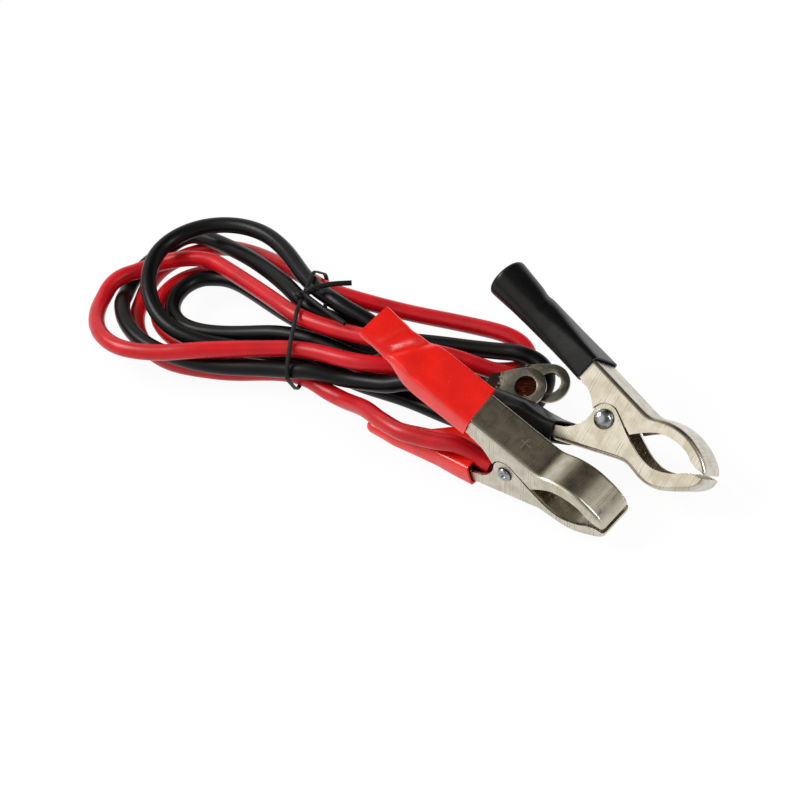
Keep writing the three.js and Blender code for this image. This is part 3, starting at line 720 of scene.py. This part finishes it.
UPPER_WEB = [
    (9.8, 7.36), (10.9, 7.3), (12.2, 7.5), (14.2, 8.1),
    (16.6, 8.6), (19, 8.78), (21.5, 8.6), (23.9, 8.1), (26.1, 7.25),
    (28.3, 6.2), (30.2, 4.95), (31.6, 3.7), (32.5, 2.6), (32.8, 1.6),
]
UPPER_JAW = [
    (31.8, 1.5), (29.5, 1.7), (27.8, 2.4), (25.3, 4.1), (22.6, 4.93), (19.9, 5.2), (17.4, 5), (14.8, 4.3),
    (11.6, 2.4), (8.2, -0.2),
]
UPPER_ARCH = [(-3.7, 0.1), (-4.9, 1.45), (-6.3, 3.1), (-8.4, 4.68), (-10.6, 5.3)]
MARKED_ARCH = [(-3.7, 0.1), (-4.9, 1.7), (-6.4, 3.6), (-8.4, 5.4), (-10.6, 6.5), (-12.4, 7.2)]
# The lower arm's lines are mirrored: the second number counts away from the upper arm.
LOWER_WEB = [
    (9.8, 7.36), (10.9, 7.1), (12.4, 7.2), (14.3, 7.62),
    (16.4, 8.05), (18.6, 8.35), (20.8, 8.3), (23.4, 7.75), (25.7, 6.8),
    (27.9, 5.6), (30, 4.4), (31.7, 3.2), (32.8, 1.9), (33.2, 0.7), (33.2, -0.4),
]
LOWER_JAW = [
    (32.2, -0.5), (29.2, -0.15), (27, 1.1), (24.6, 2.7),
    (22.6, 3.6), (20.4, 4.3), (18, 4.55), (15.5, 4.1),
    (13, 3.2), (10.4, 1.85), (8, 0.45),
]
LOWER_EAR = [(5.1, -1.5), (2.3, -3.4), (0.9, -4.02), (-0.9, -4.02), (-2.6, -3.2), (-3.8, -1.5)]
LOWER_ARCH = [(-4.02, 0.6), (-4.4, 2.2), (-5.2, 3.95),
(-6.6, 5.8), (-8.6, 7.4), (-10.3, 8.15), (-12, 8.7)]
TEETH_FROM, TOOTH, TOOTH_DEPTH = 27.9, 0.8, 0.3
BACK_FROM, BACK_RISE = 9, 8  # where the jaw's back starts to stand out more or less than drawn
INNER_FACE = WIDTH / 2 - SHEET - 0.05  # of the upper arm's side plates, and a little beyond
STEP_R, STEP_IN, STEP_OUT = 5.6, 3.7, 4.99  # the ears of the upper arm, which are stepped inwards
PAD_R, PAD_OUT = 4.0, 4.7
PLUS_HALF, PLUS_LINE, PLUS_DEPTH = 2, 0.32, 0.35
EDGE_ROUND = {"segments": 2, "limit_method": "ANGLE", "angle_limit": math.radians(45)}


def smooth_line(points, step):
    """The same line with its corners rounded, sampled every step millimetres."""
    return [(p.x, p.y) for p in Route([(u, v, 0) for u, v in points], 400).even(step)]


def toothed(line):
    """Small pressed teeth along the last millimetres of a jaw."""
    out = []
    for u, v in line:
        tooth = TOOTH_DEPTH * abs(math.sin(math.pi * (u - TEETH_FROM) / TOOTH)) if u > TEETH_FROM else 0
        out.append((u, v + tooth))
    return out


def moved_in(line, distance):
    """A line moved to the inner side of the fold."""
    out = []
    for i, (u, v) in enumerate(line):
        (au, av), (bu, bv) = line[max(i - 1, 0)], line[min(i + 1, len(line) - 1)]
        length = math.hypot(bu - au, bv - av)
        out.append((u + (bv - av) / length * distance, v - (bu - au) / length * distance))
    return out


def plate(outline, low, high, folded=(), radius=0.0, segments=4):
    """A flat plate cut to an outline, with rounded folds along the folded part of its outline."""
    piece = started([(u, v, low) for u, v in outline])
    bpy.ops.mesh.select_all(action="SELECT")
    bpy.ops.mesh.edge_face_add()
    bpy.ops.mesh.extrude_region_move(TRANSFORM_OT_translate={"value": (0, 0, high - low)})
    bpy.ops.mesh.select_all(action="SELECT")
    bpy.ops.mesh.normals_make_consistent(inside=False)
    if folded:
        spots = {(round(u, 3), round(v, 3)) for u, v in folded}
        bpy.ops.mesh.select_all(action="DESELECT")
        mesh = bmesh.from_edit_mesh(piece.data)
        bpy.context.tool_settings.mesh_select_mode = (False, True, False)
        for edge in mesh.edges:
            first, last = edge.verts
            on_line = all((round(w.co.x, 3), round(w.co.y, 3)) in spots for w in edge.verts)
            edge.select_set(on_line and abs(first.co.z - last.co.z) < 0.01)
        bmesh.update_edit_mesh(piece.data)
        bpy.ops.mesh.bevel(offset=radius, segments=segments, affect="EDGES", clamp_overlap=False)
        bpy.context.tool_settings.mesh_select_mode = (True, False, False)
    bpy.ops.object.mode_set(mode="OBJECT")
    return piece


def disc(radius, low, high, vertices=64):
    bpy.ops.object.select_all(action="DESELECT")
    middle = (0, 0, (low + high) / 2)
    bpy.ops.mesh.primitive_cylinder_add(vertices=vertices, radius=radius, depth=high - low, location=middle)
    return bpy.context.object


def stepped_ear(piece, side, sign):
    """Cuts one side plate away about the pin and gives the ear that lies further in, as two pieces."""
    def across(low, high):
        return sorted((sign * low, sign * high))

    beside = [(1.3, 4.5), (8.4, 0.1), (8.4, -2), (0, -2)]
    combined(piece, "DIFFERENCE", disc(EAR_ROOM, *across(INNER_FACE, 8)))
    combined(piece, "DIFFERENCE", plate(beside, *across(INNER_FACE, 8)))
    step = disc(STEP_R, *across(STEP_IN, STEP_OUT))
    combined(step, "INTERSECT", plate(side, -20, 20))
    combined(step, "DIFFERENCE", disc(EAR_ROOM, *across(PAD_OUT, 6)))
    return [step, disc(PAD_R, *across(STEP_IN + 0.01, PAD_OUT - 0.01))]


def plus_stamp():
    """The polarity sign that is stamped into the handle."""
    far, near = PLUS_HALF, PLUS_LINE
    half = [(far, -near), (far, near), (near, near), (near, far), (-near, far), (-near, near)]
    stamp = plate(half + [(-x, -y) for x, y in half], WEB_B - PLUS_DEPTH, WEB_B + 1)
    a_way = Vector((-math.cos(LEAN), math.sin(LEAN), 0))
    b_way = Vector((math.sin(LEAN), math.cos(LEAN), 0))
    stamp.data.transform(Matrix((a_way, Vector((0, 0, 1)), b_way)).transposed().to_4x4())
    return stamp


def arm(clip, upper, end_a, depth, back, marked):
    """One arm of a clip, folded from 1 mm sheet: web, two side plates, rounded jaw and handle."""
    web, jaw, arch = (UPPER_WEB, UPPER_JAW, UPPER_ARCH) if upper else (LOWER_WEB, LOWER_JAW, LOWER_ARCH)
    if marked:
        arch = MARKED_ARCH
    web = [(u, v * (1 + (back - 1) * ramp(u, BACK_FROM, BACK_RISE))) for u, v in web]
    handle = [handle_point(a, WEB_B) for a in (end_a, 14, 9, 4, 0, -4, -6)]
    top = smooth_line(handle + web, 0.7)
    ear = [] if upper else smooth_line(LOWER_EAR, 0.5)
    below = [handle_point(a, WEB_B - depth) for a in (MOUTH_A, end_a)]
    side = top + toothed(smooth_line(jaw, 0.2)) + ear + smooth_line(arch, 0.5) + below
    piece = plate(side, -WIDTH / 2, WIDTH / 2, top, FOLD, 5)
    lining = moved_in(smooth_line([handle_point(end_a + 9, WEB_B)] + handle[1:] + web, 0.7), SHEET)
    room = lining + [(lining[-1][0], -30), (-60, -30), (-60, lining[0][1])]
    inside = WIDTH / 2 - SHEET
    combined(piece, "DIFFERENCE", plate(room, -inside, inside, lining, FOLD - SHEET + 0.2, 2))
    pieces = [piece]
    for sign in (1, -1) if upper else ():
        pieces += stepped_ear(piece, side, sign)
    for cut in pieces:
        combined(cut, "DIFFERENCE", disc(PIN_HOLE_R, -9, 9))
        modified(cut, "BEVEL", width=0.13, use_clamp_overlap=True, **EDGE_ROUND)
    if marked:
        combined(piece, "DIFFERENCE", plus_stamp())
    place = clip if upper else clip @ Matrix.Scale(-1, 4, (0, 1, 0))
    piece = settled(joined(pieces), place, 38)
    modified(piece, "WEIGHTED_NORMAL", mode="FACE_AREA", weight=80, keep_sharp=True)
    return piece


LEG_TURN, LEG_LONG = 61.5, 17.5  # degrees from the clip's middle plane; length of a leg
COIL_TURNS, COIL_STEPS = 4, 140


def spring_line():
    """Centre line of the torsion spring in the clip's own coordinates."""
    start = math.radians(LEG_TURN)
    turns = COIL_TURNS * 2 * math.pi + 2 * start
    top = Vector((COIL_R * math.cos(start), COIL_R * math.sin(start), COIL_HALF))
    along = Vector((-math.sin(start), math.cos(start), 0))
    leg = [top + along * LEG_LONG * k for k in (1, 0.75, 0.5, 0.25, 0.1)]
    coil = []
    for i in range(COIL_STEPS + 1):
        w = start - turns * i / COIL_STEPS
        z = COIL_HALF * (1 - 2 * i / COIL_STEPS)
        coil.append(Vector((COIL_R * math.cos(w), COIL_R * math.sin(w), z)))
    other = [Vector((p.x, -p.y, -p.z)) for p in reversed(leg)]
    return leg + coil + other


def spring(clip, name, material):
    piece = settled(wire(spring_line(), WIRE / 2, 4), clip, 60)
    piece.name = piece.data.name = name
    piece.data.materials.append(material)
    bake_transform(piece)
    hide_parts(name.replace("_wire", ""))


RIVET_LINE = [
    (0, -5.9), (0.6, -6.0), (0.9, -6.5), (1.15, -6.95),
    (1.45, -7.05), (1.8, -6.95), (2.05, -6.65), (2.1, -6.3),
    (2.0, -6.25), (2.0, 6.3), (2.8, 6.3), (2.87, 6.45),
    (2.83, 6.7), (2.68, 7.05), (2.4, 7.4), (2.0, 7.7), (1.5, 7.92),
    (1.0, 8.06), (0.5, 8.13), (0, 8.15),
]


def rivet(clip, flip):
    """Turned profile spun about the pin's axis: a domed head, a shank and a rolled-over end."""
    piece = started([(r, 0, s) for r, s in RIVET_LINE])
    mesh = bmesh.from_edit_mesh(piece.data)
    closing = [e for e in mesh.edges if {v.index for v in e.verts} == {0, len(RIVET_LINE) - 1}]
    bmesh.ops.delete(mesh, geom=closing, context="EDGES")
    bmesh.update_edit_mesh(piece.data)
    bpy.ops.mesh.select_all(action="SELECT")
    bpy.ops.mesh.spin(steps=48, angle=2 * math.pi, center=(0, 0, 0), axis=(0, 0, 1))
    bpy.ops.object.mode_set(mode="OBJECT")
    outward(piece, weld=True)
    if flip:
        piece.data.transform(Matrix.Rotation(math.pi, 4, "X"))
    return settled(piece, clip, 50)


# ---- ring terminals and conductors ----------------------------------------------------------
def ring_place(at, way, tilt):
    x = Vector(way).normalized()
    z = Vector(tilt)
    z = (z - x * z.dot(x)).normalized()
    turn = Matrix((x, z.cross(x), z)).transposed().to_4x4()
    return Matrix.Translation(Vector(at) - ORIGIN) @ turn


RED_RING = ring_place((40.3, 21.3, 7.95), (0.97, 0.2, -0.1), (0.2, -0.3, 0.93))
BLACK_RING = ring_place((36.2, 15.8, 9.35), (0.92, 0.39, -0.05), (0.2, -0.3, 0.93))
NECK = [(-2.2, 5.58), (-4.2, 5.0), (-6.5, 4.1), (-9, 3.1), (-11.2, 2.8)]  # one side, narrowing to the barrel
BARREL_R, BORE_R = 2.9, 1.9
STRAND_D = 0.3
FULL_SPREAD = 2.39996  # turn in radians from one strand to the next, which fills a round bundle evenly


def tube(radius, length, middle):
    """A round bar along the ring terminal's barrel."""
    at = (middle, 0, -BARREL_DOWN)
    turn = (0, math.pi / 2, 0)
    bpy.ops.object.select_all(action="DESELECT")
    bpy.ops.mesh.primitive_cylinder_add(vertices=40, radius=radius, depth=length, location=at, rotation=turn)
    return bpy.context.object


def ring_terminal(place):
    """Eye, tapered neck and round barrel of a stamped terminal."""
    end = math.acos(2 * NECK[0][0] / RING_OUT)
    turns = [end * (2 * i / 40 - 1) for i in range(41)]
    eye = [(RING_OUT / 2 * math.cos(w), RING_OUT / 2 * math.sin(w)) for w in turns]
    piece = plate(eye + NECK[1:] + [(x, -y) for x, y in reversed(NECK[1:])], -RING_T / 2, RING_T / 2)
    combined(piece, "UNION", tube(BARREL_R, 5.0, -8.7))
    combined(piece, "DIFFERENCE", disc(RING_HOLE / 2, -6, 6, 72))
    combined(piece, "DIFFERENCE", tube(BORE_R, 7.0, -8.5))
    modified(piece, "BEVEL", width=0.16, segments=3, limit_method="ANGLE", angle_limit=math.radians(40),
             use_clamp_overlap=False)
    return settled(piece, place, 40)


def strands(start, end, radius, matrix, reach=0.0, count=19):
    """A bare conductor: wires laid in a slow twist between two points."""
    start, end = Vector(start), Vector(end)
    way = (end - start).normalized()
    side = way.orthogonal().normalized()
    other = way.cross(side)
    length = (end - start).length
    made = []
    for i in range(count):
        ring = radius * math.sqrt((i + 0.5) / count)
        stop = 1 + reach * (0.5 + 0.5 * math.sin(i * 5.1))
        points = []
        for k in range(9):
            t = stop * k / 8
            w = i * FULL_SPREAD + 0.9 * t * length / 8
            points.append(start + way * length * t + (side * math.cos(w) + other * math.sin(w)) * ring)
        made.append(wire(points, STRAND_D / 2, 1))
    return settled(joined(made), matrix, 60)


def spread_strands(ring):
    """Loose strands between the two eyes, where the photograph shows copper through the front one."""
    made = []
    for i in range(29):
        y = (i - 14) * 0.22
        stir = 0.1 * math.sin(i * 2.7)
        z = -0.82 - 0.34 * (i % 2) + 0.05 * math.sin(i * 1.9)
        line = [(-6.8, 0.15 * y, -2.2), (-5.6, 0.3 * y, -1.7), (-4.4, 0.5 * y, z), (-1.6, 0.9 * y + stir, z),
                (0.8, y - stir, z), (3.3 + stir, y, z)]
        made.append(wire(Route(line, 60).even(0.6), 0.2, 1))
    return settled(joined(made), ring, 60)


# ---- twist tie ------------------------------------------------------------------------------
# The knot's two free ends, in the layout's millimetres.
TIE_ROD = [(-36.6, 5, 21.9), (-34.6, 7.4, 23), (-31, 11.2, 23.1), (-26.6, 15.4, 22.2)]
TIE_RIBBON = [(-36.6, 5, 21.9), (-33.4, 3.8, 22.6), (-26, 2.6, 22), (-17.6, 1.6, 21.2)]


def hull(points):
    """Convex outline round points."""
    points = sorted(points)

    def chain(row):
        out = []
        for q in row:
            while len(out) > 1:
                (ox, oy), (ax, ay) = out[-2:]
                if (ax - ox) * (q[1] - oy) - (ay - oy) * (q[0] - ox) > 1e-9:
                    break
                out.pop()
            out.append(q)
        return out[:-1]

    return chain(points) + chain(points[::-1])


def around(radius, offset):
    """Outline round every run that crosses the tie's plane, moved along the hank by offset."""
    points = []
    for route in CABLES.values():
        for p in route.marks:
            if abs(tie_distance(p.x, p.y) - offset) > TIE_SLICE:
                continue
            across = -(p.x - TIE_AT[0]) * HANK_WAY[1] + (p.y - TIE_AT[1]) * HANK_WAY[0]
            for k in range(32):
                w = 2 * math.pi * (k + 0.5) / 32
                points.append((across + radius * math.cos(w), p.z + radius * math.sin(w)))
    return hull(points)


def tie_frame(offset):
    x = Vector((-HANK_WAY[1], HANK_WAY[0], 0))
    z = Vector((HANK_WAY[0], HANK_WAY[1], 0))
    turn = Matrix((x, (0, 0, 1), z)).transposed().to_4x4()
    at = Vector((TIE_AT[0], TIE_AT[1], 0)) - ORIGIN + z * offset
    return Matrix.Translation(at) @ turn


def band(radius, offset, half_width, slant):
    """A flat ribbon wound once round the hank."""
    outline = around(radius, offset)
    middle = sum(p[0] for p in outline) / len(outline)
    piece = curve("band", [(x, y, slant * (x - middle)) for x, y in outline], 0.28, 2)
    piece.data.twist_mode = "Z_UP"
    piece.data.splines[0].use_cyclic_u = True
    piece.data.extrude = half_width
    only(piece)
    bpy.ops.object.convert(target="MESH")
    piece.data.transform(tie_frame(offset))
    return piece


def twisted_pair(points, radius, gap, pitch):
    """Two ribbons of the tie turned round each other along points."""
    route = Route(points, 200)
    count = max(8, round(route.length / 0.4))
    lines = [[], []]
    for i in range(count + 1):
        at = route.along(route.length * i / count)
        ahead = route.along(min(route.length, route.length * i / count + 0.1))
        back = route.along(max(0, route.length * i / count - 0.1))
        way = (ahead - back).normalized()
        side = way.cross(Vector((0, 0, 1))).normalized()
        other = way.cross(side)
        w = 2 * math.pi * route.length * i / count / pitch
        for line, sign in zip(lines, (1, -1)):
            line.append(at + (side * math.cos(w) + other * math.sin(w)) * gap * sign - ORIGIN)
    return [wire(line, radius, 2) for line in lines]


def twist_tie():
    """A plastic-covered wire: one turn round the hank, a twisted knot and its two free ends."""
    made = [band(CABLE_D / 2 + 1.05, -0.2, 0.4, 0.02)]
    made += twisted_pair([(-38.4, 3.4, 21.2), *TIE_ROD[:2], (-33.6, 8.4, 23.1)], 0.62, 0.62, 3.4)
    for line, radius in ((TIE_ROD, 0.8), (TIE_RIBBON, 0.7)):
        made.append(wire([p - ORIGIN for p in Route(line, 200).even(0.6)], radius, 3))
    return settled(joined(made), Matrix.Identity(4), 50)


# ---- the parts, one after the other ---------------------------------------------------------
SIDES = {
    "red": {
        "clip": RED,
        "ring": RED_RING,
        "metal": nickel_plate("nickel plated steel, red clip", RED),
        "sleeve": soft_pvc("dipped PVC, red", "#e6190e", "#d8140b", 0.16, 1.4, 0.0002),
        "jacket": soft_pvc("extruded PVC, red", "#c60716", "#b30613", 0.26, 2.2, 0.0001, 0.3),
        # The bare end of the lead, as places (a, b, s) in the lower handle.
        "bare_end": ((8.9, 5.8, 1.3), (4.2, 6.95, 1.3)),
        # In the photograph the lead leaves the clip a little further out than the settled line does.
        "sag": (0.5, -1.1, -0.9),
        "in_sleeve": 0,  # millimetres of the lead that aren't drawn
    },
    "black": {
        "clip": BLACK,
        "ring": BLACK_RING,
        "metal": nickel_plate("nickel plated steel, black clip", BLACK),
        "sleeve": soft_pvc("dipped PVC, black", "#0c0c0d", "#080809", 0.26, 1.4, 0.00015, 0.2),
        "jacket": soft_pvc("extruded PVC, black", "#09090a", "#060607", 0.28, 2.2, 0.0001, 0.16),
        # The black lead's bare end is inside the sleeve, where the photograph shows no copper.
        "bare_end": ((18.8, 6.6, 1), (14.9, 7.2, 1)),
        "sag": (0, 0, 0),
        "in_sleeve": 10,
    },
}
# Of each arm: the sleeve's sections, its mouth's set-back and slant, the steel's end along the handle,
# the depth of its side plates there, and how far the jaw's back stands out against the drawn line.
ARMS = {
    "red_upper": (FLAT_BOOT, FLAT_INSIDE, 1.9, -0.09, 36, 5.2, 1),
    "red_lower": (FLAT_LOW_BOOT, FLAT_LOW_INSIDE, 0, 0, 25, 4.2, 0.9),
    "black_upper": (PIPE_BOOT, PIPE_INSIDE, -1.2, 0.12, 19, 6.3, 1),
    "black_lower": (PIPE_LOW_BOOT, PIPE_LOW_INSIDE, -1.2, 0.12, 19, 4.2, 1.1),
}
# The sag along a lead: share, place and width of each bow, in millimetres from the start.
BOWS = ((1, 18, 9), (-0.6, 46, 15))
rivet_metal = bright_rivet("zinc plated steel")
copper = bare_copper("copper strand with painted shade")
tie_material = tie_plastic("matt PVC ribbon")


def cable(name, route, material, hidden, sag):
    """One whole cable as a curve, from its clip to its ring terminal."""
    points = []
    for i, p in enumerate(route.even(1.0)):
        bow = sum(share * math.exp(-(((i - at) / width) ** 2)) for share, at, width in BOWS)
        points.append(to_row(p) + Vector(sag) * MM * bow)
    piece = curve(name, points[hidden:], CABLE_D / 2 * MM, 6)
    piece.data.materials.append(material)
    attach(piece, "base")
    return piece


def declare(colour_name):
    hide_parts(*(colour_name + part for part in ("_clip_lead", "_hank", "_ring_lead")))


for side, of in SIDES.items():
    for half, sign in (("upper", 1), ("lower", -1)):
        part = f"{side}_{half}"
        body = part if half == "upper" else "base"
        outer, inner, mouth_back, askew, end_a, depth, back = ARMS[part]
        sleeve = boot(outer, inner, of["clip"], sign, mouth_back, askew)
        finished(sleeve, part + "_sleeve", of["sleeve"], body, side + "_boot_pvc", part + "_boot")
        steel = arm(of["clip"], half == "upper", end_a, depth, back, part == "red_upper")
        finished(steel, part + "_steel", of["metal"], body, "nickel_steel", part + "_arm")
    pin = rivet(of["clip"], side == "red")
    finished(pin, side + "_pin", rivet_metal, "base", "rivet_steel", side + "_rivet")
    spring(of["clip"], side + "_spring_wire", of["metal"])

for side, of in SIDES.items():
    eye_metal = ring_metal("nickel on copper, " + side, of["ring"])
    terminal = ring_terminal(of["ring"])
    finished(terminal, side + "_eye", eye_metal, "base", "nickel_steel", side + "_ring_terminal")
    inner_end = strands((-12.1, 0, -BARREL_DOWN), (-6.5, 0, -BARREL_DOWN), 1.4, of["ring"], reach=0.25)
    if side == "black":
        inner_end = joined([inner_end, spread_strands(of["ring"])])
    finished(inner_end, side + "_ring_strands", copper, "base", "bare_copper", side + "_ring_conductor")
    bare_end = [(u, -v, s) for a, b, s in of["bare_end"] for u, v in [handle_point(a, b)]]
    clip_end = strands(*bare_end, 1.15, of["clip"])
    finished(clip_end, side + "_clip_strands", copper, "base", "bare_copper", side + "_conductor")
    lead = cable(side + "_cable", CABLES[side], of["jacket"], of["in_sleeve"], of["sag"])
    declare(side)

finished(twist_tie(), "tie_ribbon", tie_material, "base", "tie_plastic", "twist_tie")


# ---- floor, light and view ------------------------------------------------------------------
def add_floor():
    bpy.ops.mesh.primitive_plane_add(size=6, location=(0, 0, 0))
    floor = bpy.context.object
    floor.name = "floor"
    material, tree, surface = new_material("white table", Roughness=0.9, Specular_IOR_Level=0.1)
    surface.inputs["Base Color"].default_value = colour("#f4f4f4")
    paths = add_node(tree, "LightPath").outputs
    seen = maths(tree, "MAXIMUM", paths["Is Camera Ray"], paths["Is Glossy Ray"])
    white = add_node(tree, "Emission", {"Color": colour("#ffffff"), "Strength": 1.0}).outputs[0]
    share = maths(tree, "MULTIPLY", seen, 0.94)
    both = add_node(tree, "MixShader", {0: share, 1: surface.outputs[0], 2: white})
    tree.links.new(both.outputs[0], tree.nodes["Material Output"].inputs["Surface"])
    floor.data.materials.append(material)


# Dark and light boards behind the object, from left (-1) to right (1).
BOARDS = [
    (-1, "#f0f0ee"), (-0.58, "#f8f8f4"), (-0.42, "#a49e8e"), (-0.3, "#5e5848"), (-0.2, "#2c281f"),
    (-0.05, "#2c281f"), (0.22, "#3e382a"), (0.36, "#7c786c"), (0.5, "#9a968a"), (0.58, "#ffffff"),
    (0.66, "#8e8a7e"), (0.82, "#5c584e"), (1, "#5c584e"),
]


def add_world():
    world = bpy.data.worlds.new("studio")
    bpy.context.scene.world = world
    world.use_nodes = True
    tree = world.node_tree
    tree.nodes.clear()
    paths = add_node(tree, "LightPath").outputs
    way = add_node(tree, "TexCoord").outputs["Generated"]
    # Away from the horizon the room falls off to grey, so that black skins stay black.
    sides = add_node(tree, "SeparateXYZ", {0: way}).outputs
    room = mixed(tree, ranged(tree, sides["Z"], 0.12, 0.5), colour("#e8e8e8"), colour("#828282"))
    # A soft panel stands at the front left, where the side plates of the clips look.
    front = along_way(tree, way, (-0.3, -0.725, 0.62))
    room = mixed(tree, ranged(tree, front, 0.84, 0.95), room, (1.3, 1.27, 1.2, 1))
    # The webs of the clips mirror the boards behind the object as bands.
    boards = add_node(tree, "ValToRGB", {0: ranged(tree, sides["X"], -1.0, 1.0)})
    elements = boards.color_ramp.elements
    for place, shade in BOARDS:
        element = elements.new((place + 1) / 2)
        element.color = colour(shade)
    elements.remove(elements[0])
    elements.remove(elements[-1])
    beyond, raised = ranged(tree, sides["Y"], -0.05, 0.25), ranged(tree, sides["Z"], 0.1, 0.3)
    behind = maths(tree, "MULTIPLY", beyond, raised)
    mirror = mixed(tree, behind, room, boards.outputs[0])
    seen = mixed(tree, paths["Is Glossy Ray"], colour("#ffffff"), mirror)
    light = add_node(tree, "Background", {"Color": colour("#ffffff"), "Strength": 0.62}).outputs[0]
    shown = add_node(tree, "Background", {"Color": seen, "Strength": 1.0}).outputs[0]
    direct = maths(tree, "MAXIMUM", paths["Is Camera Ray"], paths["Is Glossy Ray"])
    direct = maths(tree, "MAXIMUM", direct, paths["Is Transmission Ray"])
    both = add_node(tree, "MixShader", {0: direct, 1: light, 2: shown})
    out = add_node(tree, "OutputWorld")
    tree.links.new(both.outputs[0], out.inputs["Surface"])


def add_lamp(name, at, size, watts):
    data = bpy.data.lights.new(name, "AREA")
    data.shape = "RECTANGLE"
    data.size, data.size_y = size
    data.energy = watts
    lamp = bpy.data.objects.new(name, data)
    lamp.location = at
    lamp.rotation_euler = (-Vector(at)).to_track_quat("-Z", "Y").to_euler()
    bpy.context.collection.objects.link(lamp)


add_floor()
add_world()
add_lamp("softbox left", (-0.7, -0.3, 0.7), (0.5, 0.35), 6.5)
add_lamp("strip right", (0.75, 0.1, 0.6), (0.15, 0.6), 3.0)
bpy.context.scene.view_settings.view_transform = "Standard"
